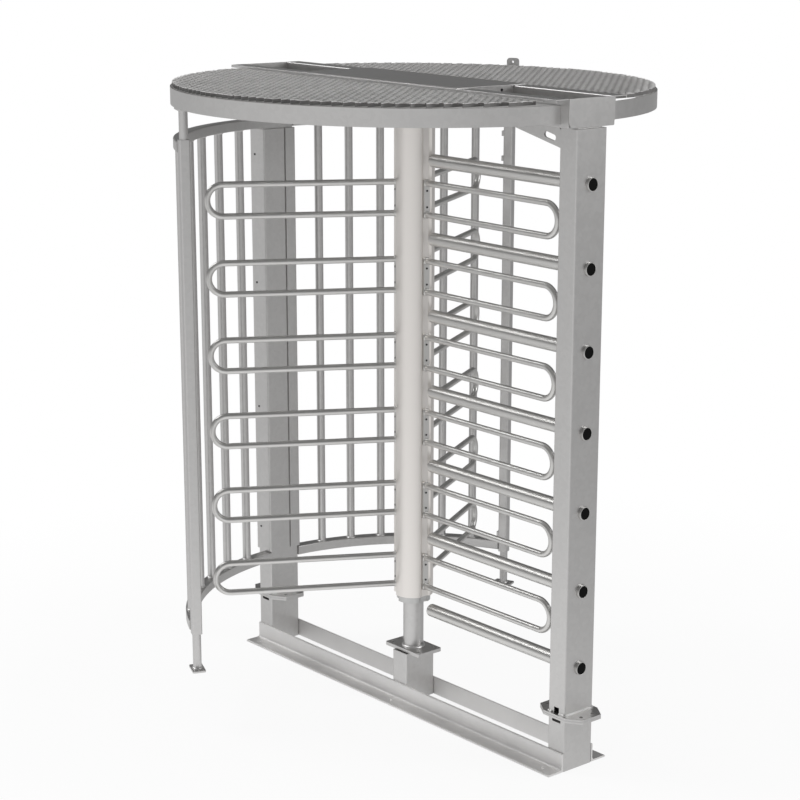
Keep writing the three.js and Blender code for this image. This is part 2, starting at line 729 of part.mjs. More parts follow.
// Upright lug with a hole, welded outside the rim for the fence beside the turnstile
function fenceTab() {
  const top = RIM_TOP + TAB_RISE;
  const bottom = RIM_TOP - TAB_DROP;
  const half = TAB_WIDTH / 2;
  const round = half / 2;
  const outline = [
    new THREE.Vector2(-half, bottom),
    new THREE.Vector2(half, bottom),
    ...arc(round, 0, Math.PI / 2, CORNER_STEPS, half - round, top - round),
    ...arc(round, Math.PI / 2, Math.PI, CORNER_STEPS, -half + round, top - round),
  ];
  const hole = circle(TAB_HOLE_RADIUS, HOLE_SIDES, 0, top - TAB_HOLE_DOWN);
  const plate = alongY(prism(outline, 0, TAB_THICK, [hole])).translate(0, -RIM_RADIUS + WELD_BITE / 2, 0);
  return plate.rotateZ(TAB_AZIMUTH + Math.PI / 2);
}

// D-shaped grating of crossing flat bars inside a flat border, drawn at twice the real pitch
function roofGrating() {
  const low = RIM_TOP;
  const high = low + GRATING_HEIGHT;
  const half = (GRATING_PITCH - GRATING_BAR) / 2;
  const sheet = solid(prism(halfDisc(GRATING_RADIUS, GRATING_CHORD_Y), low, high));
  const from = low - CUT_OVERRUN;
  const to = high + CUT_OVERRUN;
  const inside = halfDisc(GRATING_RADIUS - GRATING_BORDER, GRATING_CHORD_Y + GRATING_BORDER);
  const inner = solid(prism(inside, from, to));
  const whole = (half * 2) ** 2 * (to - from);
  const count = Math.ceil(GRATING_RADIUS / GRATING_PITCH);
  const cells = [];
  for (let row = 0; row < count; row += 1) {
    const y = -GRATING_CHORD_Y - GRATING_BORDER - half - row * GRATING_PITCH;
    for (let column = -count; column < count; column += 1) {
      const x = (column + 1 / 2) * GRATING_PITCH;
      const box = prism(rectangle(x - half, y - half, x + half, y + half), from, to);
      const cell = solid(box).intersect(inner);
      if (cell.volume() > whole * SMALLEST_CELL_SHARE) {
        cells.push(cell);
      }
    }
  }
  return shell(cells.reduce((rest, cell) => rest.subtract(cell), sheet));
}

// Cage, drawn for the front half and reflected for the rear half

// Sector of a ring between the pillar's side and the cage post's face
function ringSector(inner, outer, overrun) {
  const side = PILLAR_SIDE / 2 + FIT_GAP - overrun;
  const face = postFaceY + FIT_GAP - overrun;
  const pillarEnd = (radius) => -PILLAR_AZIMUTH - Math.asin(side / radius);
  const postEnd = (radius) => -Math.PI + Math.asin(face / radius);
  return [
    ...arc(outer, postEnd(outer), pillarEnd(outer), RING_STEPS),
    ...arc(inner, pillarEnd(inner), postEnd(inner), RING_STEPS),
  ];
}

// Rolled tube in outline, or its bore
function ringBody(low, shrink, overrun) {
  const inner = RING_RADIUS - RING_WIDTH / 2 + shrink;
  const outer = RING_RADIUS + RING_WIDTH / 2 - shrink;
  return prism(ringSector(inner, outer, overrun), low + shrink, low + RING_HEIGHT - shrink);
}

// Upright bars in outline, or their bores, which open into the rings as the zinc vents do
function barBodies(radius, bite) {
  const low = RING_LOW_Z + RING_HEIGHT - bite;
  const high = RING_HIGH_Z + bite;
  const bodies = [];
  for (let i = 0; i < BAR_COUNT; i += 1) {
    const place = polar(RING_RADIUS, -BAR_FIRST_AZIMUTH - i * BAR_STEP_AZIMUTH);
    bodies.push(prism(circle(radius, BAR_SIDES, place.x, place.y), low, high));
  }
  return bodies;
}

// Welded grille: two rolled rings and the bars between them
function cageGrille() {
  const outside = join(
    ringBody(RING_LOW_Z, 0, 0),
    ringBody(RING_HIGH_Z, 0, 0),
    ...barBodies(BAR_RADIUS, WELD_BITE),
  );
  return cut(
    outside,
    ringBody(RING_LOW_Z, RING_WALL, CUT_OVERRUN / 2),
    ringBody(RING_HIGH_Z, RING_WALL, CUT_OVERRUN / 2),
    ...barBodies(BAR_RADIUS - BAR_WALL, RING_HEIGHT / 2),
  );
}

// Moves a piece drawn about Z to the front pillar, square to the ring
function atPillar(geometry) {
  const place = polar(RING_RADIUS, -PILLAR_AZIMUTH);
  return geometry.rotateZ(-PILLAR_AZIMUTH + Math.PI / 2).translate(place.x, place.y, 0);
}

function cagePillar() {
  const outer = roundedRectangle(PILLAR_SIDE, PILLAR_SIDE, PILLAR_CORNER);
  const boreSide = PILLAR_SIDE - 2 * PILLAR_WALL;
  const bore = roundedRectangle(boreSide, boreSide, PILLAR_CORNER - PILLAR_WALL);
  const low = RING_LOW_Z - PILLAR_PAST_RING;
  const high = RING_HIGH_Z + RING_HEIGHT + PILLAR_PAST_RING;
  return atPillar(prism(outer, low, high, [bore]));
}

// Plate with two holes and an open middle at each end of the pillar's round core
function corePlate(low) {
  const outline = roundedRectangle(CORE_PLATE_LENGTH, CORE_PLATE_WIDTH, CORE_PLATE_CORNER);
  const holes = [-CORE_PLATE_HOLE_OUT, CORE_PLATE_HOLE_OUT].map((x) => (
    circle(CORE_PLATE_HOLE_RADIUS, HOLE_SIDES, x)
  ));
  holes.push(circle(CORE_RADIUS - CORE_WALL / 2, BAR_SIDES));
  return prism(outline, low, low + CORE_PLATE_THICK, holes);
}

// Round tube that runs through the square pillar from the floor to the rim
function pillarCore() {
  const footBottom = STUB_TOP + FOOT_THICK;
  const headBottom = RIM_BOTTOM - FIT_GAP - CORE_PLATE_THICK;
  const tube = prism(
    circle(CORE_RADIUS, BAR_SIDES),
    footBottom + CORE_PLATE_THICK - WELD_BITE,
    headBottom + WELD_BITE,
    [circle(CORE_RADIUS - CORE_WALL, BAR_SIDES)],
  );
  return atPillar(join(corePlate(footBottom), corePlate(headBottom), tube));
}

// Angles that close the cage onto the post between the two rings
function wrapAngle(reach) {
  const inner = -postInner + FIT_GAP;
  const outerX = inner + WRAP_THICK;
  const face = -postFaceY - FIT_GAP;
  const front = face - WRAP_THICK;
  const outline = [
    new THREE.Vector2(-postOuter, face),
    new THREE.Vector2(-postOuter, front),
    ...arc(WRAP_THICK, -Math.PI / 2, 0, CORNER_STEPS, inner, face),
    new THREE.Vector2(outerX, front + reach),
    new THREE.Vector2(inner, front + reach),
    new THREE.Vector2(inner, face),
  ];
  return prism(outline, RING_LOW_Z + RING_HEIGHT + WRAP_END_GAP, RING_HIGH_Z - WRAP_END_GAP);
}

// Rotor foot and lower bearing

function rotorFoot() {
  const holes = [];
  [-1, 1].forEach((sx) => {
    [-1, 1].forEach((sy) => {
      holes.push(circle(FOOT_HOLE_RADIUS, HOLE_SIDES, sx * ROTOR_PLATE_HOLE_X, sy * ROTOR_PLATE_HOLE_Y));
    });
  });
  holes.push(circle(CABLE_BORE, HOLE_SIDES));
  const plateTop = STUB_TOP + ROTOR_PLATE_THICK;
  const plate = prism(
    roundedRectangle(ROTOR_PLATE_LENGTH, ROTOR_PLATE_WIDTH, ROTOR_PLATE_CORNER),
    STUB_TOP,
    plateTop,
    holes,
  );
  const foot = plateTop - WELD_BITE;
  const bore = FOOT_TUBE_RADIUS - FOOT_TUBE_WALL;
  const spigotTop = FOOT_TUBE_TOP + SPIGOT_LENGTH;
  const tube = revolve([
    [bore, foot],
    [FOOT_TUBE_RADIUS + FOOT_WELD_LEG, foot],
    [FOOT_TUBE_RADIUS + FOOT_WELD_LEG, plateTop + WELD_BITE / 2],
    [FOOT_TUBE_RADIUS, plateTop + FOOT_WELD_LEG],
    [FOOT_TUBE_RADIUS, FOOT_TUBE_TOP],
    [SPIGOT_RADIUS, FOOT_TUBE_TOP],
    [SPIGOT_RADIUS, spigotTop - SPIGOT_CHAMFER],
    [SPIGOT_RADIUS - SPIGOT_CHAMFER, spigotTop],
    [0, spigotTop],
    [0, FOOT_TUBE_TOP - FOOT_TUBE_CAP],
    [bore, FOOT_TUBE_TOP - FOOT_TUBE_CAP],
    [bore, foot],
  ]);
  return join(plate, tube);
}

// Plain ring about the rotor axis
function washer(inner, outer, low, high) {
  return prism(circle(outer, ROUND_SIDES), low, high, [circle(inner, ROUND_SIDES)]);
}

// Rotor

// Outline of three lobes with a flat floor in each valley, at the wings' azimuths
function lobes(radius, floor, floorHalf, shoulder) {
  const points = [];
  for (let wing = 0; wing < WING_COUNT; wing += 1) {
    const azimuth = wing * WING_STEP;
    const edge = Math.atan2(floorHalf, floor);
    const floorRadius = Math.hypot(floor, floorHalf);
    points.push(polar(floorRadius, azimuth - edge), polar(floorRadius, azimuth + edge));
    points.push(...arc(radius, azimuth + shoulder, azimuth + WING_STEP - shoulder, LOBE_STEPS));
  }
  return points;
}

function rotorColumn() {
  const outline = lobes(COLUMN_RADIUS, COLUMN_FLOOR, COLUMN_FLOOR_HALF, COLUMN_SHOULDER);
  return prism(outline, COLUMN_BOTTOM, COLUMN_TOP, [circle(COLUMN_BORE, ROUND_SIDES)]);
}

function rotorCollar() {
  const outline = lobes(COLLAR_RADIUS, COLLAR_FLOOR, COLUMN_FLOOR_HALF, COLUMN_SHOULDER);
  const skirt = prism(outline, collarBottom, COLUMN_BOTTOM - FIT_GAP);
  const register = prism(
    circle(COLUMN_BORE - FIT_GAP, ROUND_SIDES),
    COLUMN_BOTTOM - FIT_GAP - WELD_BITE,
    COLUMN_BOTTOM + COLLAR_REGISTER,
  );
  const bore = prism(
    circle(SPIGOT_RADIUS + RUN_GAP, ROUND_SIDES),
    collarBottom - CUT_OVERRUN,
    COLUMN_BOTTOM + CUT_OVERRUN,
  );
  return cut(join(skirt, register), bore);
}

function rotorShaft() {
  const seat = COLUMN_BORE - FIT_GAP;
  return revolve([
    [0, COLUMN_TOP - SHAFT_FLANGE_THICK],
    [seat, COLUMN_TOP - SHAFT_FLANGE_THICK],
    [seat, COLUMN_TOP],
    [SPIGOT_RADIUS, COLUMN_TOP],
    [SPIGOT_RADIUS, shaftTop - SPIGOT_CHAMFER],
    [SPIGOT_RADIUS - SPIGOT_CHAMFER, shaftTop],
    [0, shaftTop],
  ]);
}

// Bent tube hoop welded on the plate that bolts into the column's valley
function hoop() {
  const bendX = HOOP_REACH - HOOP_TUBE_RADIUS - HOOP_HALF_SPACING;
  const path = new HoopPath(platesOuterR - WELD_BITE, bendX, HOOP_HALF_SPACING);
  const section = new THREE.Shape(circle(HOOP_TUBE_RADIUS, HOOP_SIDES));
  const tube = new THREE.ExtrudeGeometry(section, {
    steps: path.count,
    bevelEnabled: false,
    extrudePath: path,
  });
  const outline = rectangle(
    -HOOP_PLATE_WIDTH / 2,
    -HOOP_PLATE_HEIGHT / 2,
    HOOP_PLATE_WIDTH / 2,
    HOOP_PLATE_HEIGHT / 2,
  );
  const plate = alongX(prism(outline, COLUMN_FLOOR + FIT_GAP, platesOuterR));
  return join(tube, plate);
}

// Lock in the header

function bearingHousing() {
  const low = troughFloor + FIT_GAP;
  const inner = SPIGOT_RADIUS + RUN_GAP;
  const top = low + HOUSING_HEIGHT;
  return revolve([
    [inner, low],
    [HOUSING_FLANGE_RADIUS, low],
    [HOUSING_FLANGE_RADIUS, low + HOUSING_FLANGE_THICK],
    [HOUSING_BOSS_RADIUS, low + HOUSING_FLANGE_THICK],
    [HOUSING_BOSS_RADIUS, top],
    [inner, top],
    [inner, low],
  ]);
}

// Disc with one notch for each twelfth of a turn, on a hub
function indexDisc() {
  const points = [];
  const step = FULL_TURN / DISC_NOTCHES;
  const floor = DISC_RADIUS - DISC_NOTCH_DEPTH;
  for (let i = 0; i < DISC_NOTCHES; i += 1) {
    const azimuth = i * step;
    const floorHalf = Math.atan2(DISC_NOTCH_HALF_FLOOR, floor);
    const topHalf = Math.asin(DISC_NOTCH_HALF_TOP / DISC_RADIUS);
    points.push(polar(DISC_RADIUS, azimuth - topHalf), polar(floor, azimuth - floorHalf));
    points.push(polar(floor, azimuth + floorHalf), polar(DISC_RADIUS, azimuth + topHalf));
    points.push(polar(DISC_RADIUS, azimuth + step / 2));
  }
  const disc = prism(points, discBottom, discTop);
  const hub = prism(circle(DISC_HUB_RADIUS, ROUND_SIDES), discBottom - DISC_HUB_BELOW, discTop + DISC_HUB_ABOVE);
  const bore = prism(
    circle(SPIGOT_RADIUS + FIT_GAP, ROUND_SIDES),
    discBottom - CUT_OVERRUN,
    discTop + CUT_OVERRUN,
  );
  return cut(join(disc, hub), bore);
}

function lockBed() {
  const plate = prism(
    roundedRectangle(BED_HALF_LENGTH * 2, BED_HALF_WIDTH * 2, BED_CORNER),
    bedBottom,
    bedTop,
    [circle(HOUSING_FLANGE_RADIUS + RUN_GAP, ROUND_SIDES)],
  );
  const pins = [1, -1].map((side) => {
    const pin = rod('z', PAWL_PIN_RADIUS, bedTop - WELD_BITE, discTop + PIN_STANDUP, BAR_SIDES, 0, 0);
    return pin.translate(side * PAWL_PIVOT_X, side * PAWL_PIVOT_Y, 0);
  });
  return join(plate, ...pins);
}

// Arm with a nose over the disc and a tail beside the solenoid, drawn about its pin
function lockPawl() {
  const armY = PAWL_ARM_Y - PAWL_PIVOT_Y;
  const noseY = DISC_RADIUS + PAWL_NOSE_CLEAR - PAWL_PIVOT_Y;
  const noseX = -PAWL_PIVOT_X;
  const tailX = PAWL_TAIL_X - PAWL_PIVOT_X;
  const arm = rectangle(noseX - PAWL_NOSE_HALF, armY - PAWL_ARM_HALF, tailX, armY + PAWL_ARM_HALF);
  const nose = rectangle(noseX - PAWL_NOSE_HALF, noseY, noseX + PAWL_NOSE_HALF, armY);
  const body = join(
    prism(arm, discBottom, discTop),
    prism(nose, discBottom, discTop),
    prism(circle(PAWL_BOSS_RADIUS, ROUND_SIDES), bedTop + FIT_GAP, discTop),
  );
  const bore = prism(circle(PAWL_PIN_RADIUS + RUN_GAP, BAR_SIDES), bedBottom, discTop + CUT_OVERRUN);
  return cut(body, bore);
}

// Coil body with its plunger against the pawl's tail
function lockSolenoid() {
  const base = bedTop + FIT_GAP;
  const armFace = PAWL_ARM_Y - PAWL_ARM_HALF;
  const middle = (discBottom + discTop) / 2;
  const box = prism(
    roundedRectangle(SOLENOID_LENGTH, SOLENOID_DEPTH, SOLENOID_CORNER, SOLENOID_X, SOLENOID_Y),
    base,
    base + SOLENOID_HEIGHT,
  );
  const bodyFace = SOLENOID_Y + SOLENOID_DEPTH / 2 - WELD_BITE;
  const plunger = rod('y', PLUNGER_RADIUS, bodyFace, armFace - FIT_GAP, BAR_SIDES, SOLENOID_X, middle);
  return join(box, plunger);
}

// Assembly

const group = new THREE.Group();
const portal = new THREE.Group();
const rotor = new THREE.Group();
group.add(portal, rotor);

portal.add(
  piece('base_angle_front', baseAngle(), galvanised()),
  piece('base_angle_rear', mirrorY(baseAngle()), galvanised()),
  piece('cage_stub', postStub(-POST_AXIS_X), galvanised()),
  piece('rotor_stub', boxTube(0, STUB_TOP, 0), galvanised()),
  piece('comb_stub', postStub(POST_AXIS_X), galvanised()),
  piece('cage_post', post(-POST_AXIS_X), galvanised()),
  piece('comb_post', combPost(), galvanised()),
);

for (let i = 0; i < COMB_COUNT; i += 1) {
  const bar = piece(`comb_bar_${i + 1}`, combBar(), barSteel());
  bar.position.z = COMB_FIRST_Z + i * COMB_PITCH;
  portal.add(bar);
}
portal.add(
  piece('header_trough', headerTrough(), galvanised()),
  piece('gusset_front', gusset(), galvanised()),
  piece('gusset_rear', mirrorY(gusset()), galvanised()),
  piece('mechanism_lid', mechanismLid(), galvanised()),
  piece('roof_rim_front', roofRim(), galvanised()),
  piece('roof_rim_rear', join(mirrorY(roofRim()), fenceTab()), galvanised()),
  piece('roof_grating_front', roofGrating(), gratingSteel()),
  piece('roof_grating_rear', mirrorY(roofGrating()), gratingSteel()),
);

const wrapGirth = POST_DEPTH + 2 * (WRAP_THICK + FIT_GAP);
const cageHalves = [
  { side: 'front', place: (geometry) => geometry, reach: WRAP_FRONT_REACH },
  { side: 'rear', place: mirrorY, reach: wrapGirth - WRAP_FRONT_REACH - WRAP_SEAM },
];
cageHalves.forEach(({ side, place, reach }) => {
  portal.add(
    piece(`cage_grille_${side}`, place(cageGrille()), galvanised()),
    piece(`cage_pillar_${side}`, place(cagePillar()), galvanised()),
    piece(`pillar_core_${side}`, place(pillarCore()), galvanised()),
    piece(`cage_angle_${side}`, place(wrapAngle(reach)), galvanised()),
  );
});
portal.add(
  piece('rotor_foot', rotorFoot(), galvanised()),
  piece(
    'thrust_bearing',
    washer(SPIGOT_RADIUS + RUN_GAP, THRUST_OUTER, FOOT_TUBE_TOP + FIT_GAP, collarBottom - FIT_GAP),
    bronze(),
  ),
  piece('top_bearing_housing', bearingHousing(), machinedSteel()),
  piece('lock_bed', lockBed(), machinedSteel()),
);

// The entry lock stands on one side of the disc and the exit lock half a turn round from it
const locks = [['entry', 1], ['exit', -1]];
locks.forEach(([way, side], i) => {
  const pawl = piece(`lock_pawl_${way}`, lockPawl(), machinedSteel());
  pawl.rotation.z = i * Math.PI;
  pawl.position.set(side * PAWL_PIVOT_X, side * PAWL_PIVOT_Y, 0);
  group.add(pawl);
  const solenoid = piece(`lock_solenoid_${way}`, lockSolenoid(), blackPlastic());
  solenoid.rotation.z = i * Math.PI;
  portal.add(solenoid);
});

rotor.add(
  piece('rotor_column', rotorColumn(), columnSteel()),
  piece('rotor_collar', rotorCollar(), columnSteel()),
  piece('rotor_shaft', rotorShaft(), machinedSteel()),
  piece('index_disc', indexDisc(), machinedSteel()),
);
for (let wing = 0; wing < WING_COUNT; wing += 1) {
  const wingGroup = new THREE.Group();
  wingGroup.rotation.z = wing * WING_STEP;
  for (let level = 0; level < HOOP_COUNT; level += 1) {
    const mesh = piece(`hoop_wing${wing + 1}_level${level + 1}`, hoop(), barSteel());
    mesh.position.z = HOOP_FIRST_Z + level * HOOP_PITCH;
    wingGroup.add(mesh);
  }
  rotor.add(wingGroup);
}

export default group;
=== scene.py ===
"""Looks of a full height turnstile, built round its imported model.

Lengths in the classes are millimetres in the model's own frame: Z is up, the rotor turns about Z,
X runs along the portal to the comb post and the passage runs along Y. Each mesh is drawn in
millimetres and turned to metres when it is placed.
"""
import logging
import math
from collections.abc import Callable, Iterable, Sequence
from dataclasses import dataclass, field
from enum import Enum
from itertools import product

import bmesh
import bpy
from mathutils import Matrix, Vector


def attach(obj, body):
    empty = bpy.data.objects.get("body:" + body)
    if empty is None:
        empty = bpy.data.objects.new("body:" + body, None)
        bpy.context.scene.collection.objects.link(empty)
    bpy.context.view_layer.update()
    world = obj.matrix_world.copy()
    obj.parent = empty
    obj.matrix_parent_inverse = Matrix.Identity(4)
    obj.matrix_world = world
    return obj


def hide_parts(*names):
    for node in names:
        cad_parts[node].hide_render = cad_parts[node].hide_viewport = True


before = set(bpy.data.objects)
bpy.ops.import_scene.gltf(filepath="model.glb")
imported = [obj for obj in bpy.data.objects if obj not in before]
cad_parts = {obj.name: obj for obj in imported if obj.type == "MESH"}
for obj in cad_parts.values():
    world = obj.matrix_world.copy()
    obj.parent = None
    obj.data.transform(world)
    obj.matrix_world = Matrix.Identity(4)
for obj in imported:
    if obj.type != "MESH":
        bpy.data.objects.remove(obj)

log = logging.getLogger("turnstile")
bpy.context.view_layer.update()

Pair = tuple[float, float]
Triple = tuple[float, float, float]
Quad = tuple[float, float, float, float]
Plane = Sequence[Pair]
Mesh = bmesh.types.BMesh
Vert = bmesh.types.BMVert
Edge = bmesh.types.BMEdge
Tree = bpy.types.NodeTree
Node = bpy.types.Node
Socket = bpy.types.NodeSocket

MM = 0.001
FULL_TURN = math.tau
WHITE = (1.0, 1.0, 1.0, 1.0)

# Gap between pieces that seat on each other, and how deep a welded piece reaches into the next.
FIT_GAP = 0.3
BITE = 0.5
# How far a cutting tool passes the face that it cuts.
PAST = 5.0
# Flats round a drilled hole, a tube and the large round pieces.
HOLE_STEPS = 24
TUBE_STEPS = 48
LARGE_STEPS = 64
# Edges of a piece that turn by more degrees than this are shown sharp.
CREASE = 40.0

# Sizes that several sub-assemblies share.
POST_X = 912.7
POST_INNER_X = 869.7
POST_TUBE = (86.0, 146.0, 5.0, 5.5)
POST_FACE = 73.3
STUB_TOP = 205.0
FOOT_LOW = 214.0
COMB_LEVELS = tuple(398.0 + i * 300.0 for i in range(7))


class Axis(Enum):
    """Direction that a profile is drawn out along."""

    X = 0
    Y = 1
    Z = 2


class Side(Enum):
    """Half of the portal, by the sign of Y."""

    FRONT = -1
    REAR = 1

    @property
    def label(self) -> str:
        """Word that the model uses for this half."""
        return self.name.lower()


# Colour and node helpers

def linear(code: str) -> Quad:
    """Turns an sRGB hex value to linear.

    Args:
        code: Six hex digits.

    Returns:
        Linear red, green, blue and an alpha of one.
    """
    shades = [int(code[i:i + 2], 16) / 255 for i in (0, 2, 4)]
    bent = [s / 12.92 if s <= 0.04045 else ((s + 0.055) / 1.055) ** 2.4 for s in shades]
    return bent[0], bent[1], bent[2], 1.0


def per_mm(length: float) -> float:
    """Scale of a texture with features this many millimetres across, on metre coordinates."""
    return 1.0 / (length * MM)


def add_node(tree: Tree, kind: str, settings: dict[str, object] | None = None,
             values: dict[str | int, object] | None = None,
             links: dict[str | int, Socket] | None = None,
             stops: Sequence[tuple[float, Quad]] = ()) -> Node:
    """Adds a node with its settings and links.

    Args:
        tree: Tree that gets the node.
        kind: Node type without the ShaderNode prefix.
        settings: Attributes of the node itself.
        values: Constants for its inputs, by input name or number.
        links: Outputs that feed its inputs, by input name or number.
        stops: Places and tones of the two stops, where the node is a colour ramp.

    Returns:
        The new node.
    """
    node = tree.nodes.new("ShaderNode" + kind)
    for name, value in (settings or {}).items():
        setattr(node, name, value)
    for name, value in (values or {}).items():
        node.inputs[name].default_value = value
    for name, source in (links or {}).items():
        tree.links.new(source, node.inputs[name])
    for number, (spot, tone) in enumerate(stops):
        stop = node.color_ramp.elements[number]
        stop.position, stop.color = spot, tone
    return node


def blank_material(name: str) -> bpy.types.Material:
    """Material with an empty tree.

    Args:
        name: Name of the material.

    Returns:
        The material.
    """
    made = bpy.data.materials.new(name)
    made.use_nodes = True
    made.node_tree.nodes.clear()
    return made


# Finishes

@dataclass(frozen=True)
class Finish:
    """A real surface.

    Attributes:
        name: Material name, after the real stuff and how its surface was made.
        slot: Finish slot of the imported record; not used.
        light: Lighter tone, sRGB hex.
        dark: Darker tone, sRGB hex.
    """

    name: str
    slot: str
    light: str
    dark: str

    def material(self) -> bpy.types.Material:
        """Makes the material, or returns the one that was made before.

        Returns:
            The material.
        """
        made = bpy.data.materials.get(self.name)
        if made is None:
            made = blank_material(self.name)
            tree = made.node_tree
            skin = self.skin(tree, add_node(tree, "TexCoord").outputs["Object"])
            add_node(tree, "OutputMaterial", links={"Surface": skin.outputs["BSDF"]})
        return made

    def skin(self, tree: Tree, place: Socket) -> Node:
        """Shader of the surface, from the place on the object.

        Args:
            tree: Tree of the material.
            place: Place on the object.

        Returns:
            The shader's node.
        """
        raise NotImplementedError


@dataclass(frozen=True)
class Metal(Finish):
    """Metal surface with a slow mottle, a fine grain and an uneven gloss.

    Attributes:
        gloss: Lowest and highest roughness.
        mottle_mm: Width of the mottle's patches.
        grain_mm: Width of the fine grain.
        stretch: How much longer the grain is along each axis.
        bump_mm: Depth of the grain.
        flakes: True for the crystal pattern of zinc, with crystals a quarter of a patch wide.
        flake_share: How far the crystals take over the mottle.
        stops: Where the mottle turns from the darker to the lighter tone.
    """

    gloss: Pair
    mottle_mm: float
    grain_mm: float
    stretch: Triple = (1.0, 1.0, 1.0)
    bump_mm: float = 0.02
    flakes: bool = False
    flake_share: float = 0.4
    stops: Pair = (0.3, 0.7)

    def skin(self, tree: Tree, place: Socket) -> Node:
        """Shader of the metal, from the place on the object.

        Args:
            tree: Tree of the material.
            place: Place on the object.

        Returns:
            The shader's node.
        """
        squeeze = tuple(1.0 / s for s in self.stretch)
        along = add_node(tree, "Mapping", values={"Scale": squeeze},
                         links={"Vector": place}).outputs[0]
        mottle = add_node(tree, "TexNoise", links={"Vector": along}, values={
            "Scale": per_mm(self.mottle_mm), "Detail": 3.0}).outputs["Fac"]
        if self.flakes:
            cells = add_node(tree, "TexVoronoi", values={"Scale": per_mm(self.mottle_mm / 4)},
                             links={"Vector": place}).outputs["Color"]
            shade = add_node(tree, "SeparateColor", links={"Color": cells}).outputs[0]
            mottle = add_node(tree, "Mix", values={0: self.flake_share},
                              links={2: mottle, 3: shade}).outputs[0]
        grain = add_node(tree, "TexNoise", links={"Vector": along}, values={
            "Scale": per_mm(self.grain_mm), "Detail": 2.0}).outputs["Fac"]
        first, last = self.stops
        tone = add_node(tree, "ValToRGB", links={"Fac": mottle},
                        stops=((first, linear(self.dark)), (last, linear(self.light))))
        gloss = add_node(tree, "MapRange", links={"Value": mottle}, values={
            "From Min": first, "From Max": last,
            "To Min": self.gloss[0], "To Max": self.gloss[1]})
        bump = add_node(tree, "Bump", values={"Strength": 0.6, "Distance": self.bump_mm * MM},
                        links={"Height": grain})
        return add_node(tree, "BsdfPrincipled", values={"Metallic": 1.0}, links={
            "Base Color": tone.outputs["Color"], "Roughness": gloss.outputs["Result"],
            "Normal": bump.outputs["Normal"]})


@dataclass(frozen=True)
class Polymer(Finish):
    """Moulded plastic with a fine leathery grain, whose tops are worn to the lighter tone.

    Attributes:
        roughness: Roughness of the surface.
        grain_mm: Width of the moulded grain.
        bump_mm: Depth of the grain.
        shine: Level of the mirrored light.
        stops: Where the grain turns from the darker to the lighter tone.
    """

    roughness: float
    grain_mm: float
    bump_mm: float = 0.05
    shine: float = 0.12
    stops: Pair = (0.45, 0.8)

    def skin(self, tree: Tree, place: Socket) -> Node:
        """Shader of the plastic, from the place on the object.

        Args:
            tree: Tree of the material.
            place: Place on the object.

        Returns:
            The shader's node.
        """
        grain = add_node(tree, "TexNoise", links={"Vector": place}, values={
            "Scale": per_mm(self.grain_mm), "Detail": 2.0}).outputs["Fac"]
        first, last = self.stops
        tone = add_node(tree, "ValToRGB", links={"Fac": grain},
                        stops=((first, linear(self.dark)), (last, linear(self.light))))
        bump = add_node(tree, "Bump", values={"Strength": 0.4, "Distance": self.bump_mm * MM},
                        links={"Height": grain})
        return add_node(tree, "BsdfPrincipled", values={
            "Roughness": self.roughness, "Specular IOR Level": self.shine}, links={
            "Base Color": tone.outputs["Color"], "Normal": bump.outputs["Normal"]})


# Hot-dip zinc on structural steel: a dull silver with faint crystals about 15 mm across and a
# skin that blurs what it reflects. The grain is drawn at 3 mm, coarser than real, so that it shows.
GALVANISED = Metal("hot_dip_galvanised_steel", "galvanised_steel", "d3d2d1", "cecdcc",
                   (0.34, 0.38), 60.0, 3.0, bump_mm=0.004, flakes=True)
# The rolled angles of the base carry a whiter and duller zinc than the tubes; the whiter tone is
# a painted reflection of the light that their flanges catch off the upright legs.
ANGLE_ZINC_PAINTED_REFLECTION = Metal("fresh_galvanised_angle", "galvanised_steel", "f4f3f2", "eeedec",
                   (0.54, 0.57), 140.0, 3.0, bump_mm=0.0008)
# Upper edges of the roof's grating bars, painted near white: a painted highlight for the sky that
# they catch.
GRATING_PAINTED_LIGHT = Metal("hot_dip_galvanised_grating", "roof_grating_steel", "fcfbfa", "f6f5f4",
                     (0.36, 0.42), 40.0, 4.0, bump_mm=0.01)
# The same bars lower down, painted dark grey with a duller gloss: a painted shade for the shade of
# their neighbours.
GRATING_PAINTED_SHADE = Metal("dull_galvanised_grating", "roof_grating_steel", "908f8e", "868584",
                      (0.45, 0.50), 40.0, 4.0, bump_mm=0.01)
# Weld beads, painted whiter than the rolled skin beside them: a painted highlight on top of the
# glint that the beads' own shape catches.
WELD_ZINC_PAINTED_HIGHLIGHT = Metal("galvanised_weld_bead", "galvanised_steel", "f8f7f6", "eeedec",
                  (0.37, 0.41), 8.0, 2.5, bump_mm=0.002)
# Ground stainless tube: satin, with fine lines along the tube that are 30 times as long as wide.
STAINLESS_X = Metal("satin_stainless_tube_along_x", "stainless_bar", "dddcda", "d9d8d6",
                    (0.33, 0.35), 90.0, 1.5, stretch=(30.0, 1.0, 1.0), bump_mm=0.0002)
# The bent tube of the hoops turns too much for lines along one axis, so its grain has no lead.
STAINLESS_HOOP = Metal("satin_stainless_hoop", "stainless_bar", "dddcda", "d9d8d6",
                       (0.33, 0.35), 60.0, 1.5, bump_mm=0.0002)
# Extruded aluminium with a warm natural anodised skin, its die lines run up the column.
ANODISED = Metal("natural_anodised_aluminium", "column_aluminium", "f3efeb", "f0ece8",
                 (0.34, 0.37), 120.0, 2.0, stretch=(1.0, 1.0, 60.0), bump_mm=0.002)
# Turned and milled steel parts of the lock and the bearing.
MACHINED = Metal("machined_steel", "machined_steel", "bcbec0", "aeb0b2",
                 (0.22, 0.30), 30.0, 1.0, bump_mm=0.01)
# Zinc plated collar under the column.
COLLAR_ZINC = Metal("zinc_plated_collar", "column_aluminium", "d2d2d1", "c8c8c7",
                    (0.34, 0.40), 30.0, 2.0, bump_mm=0.004)
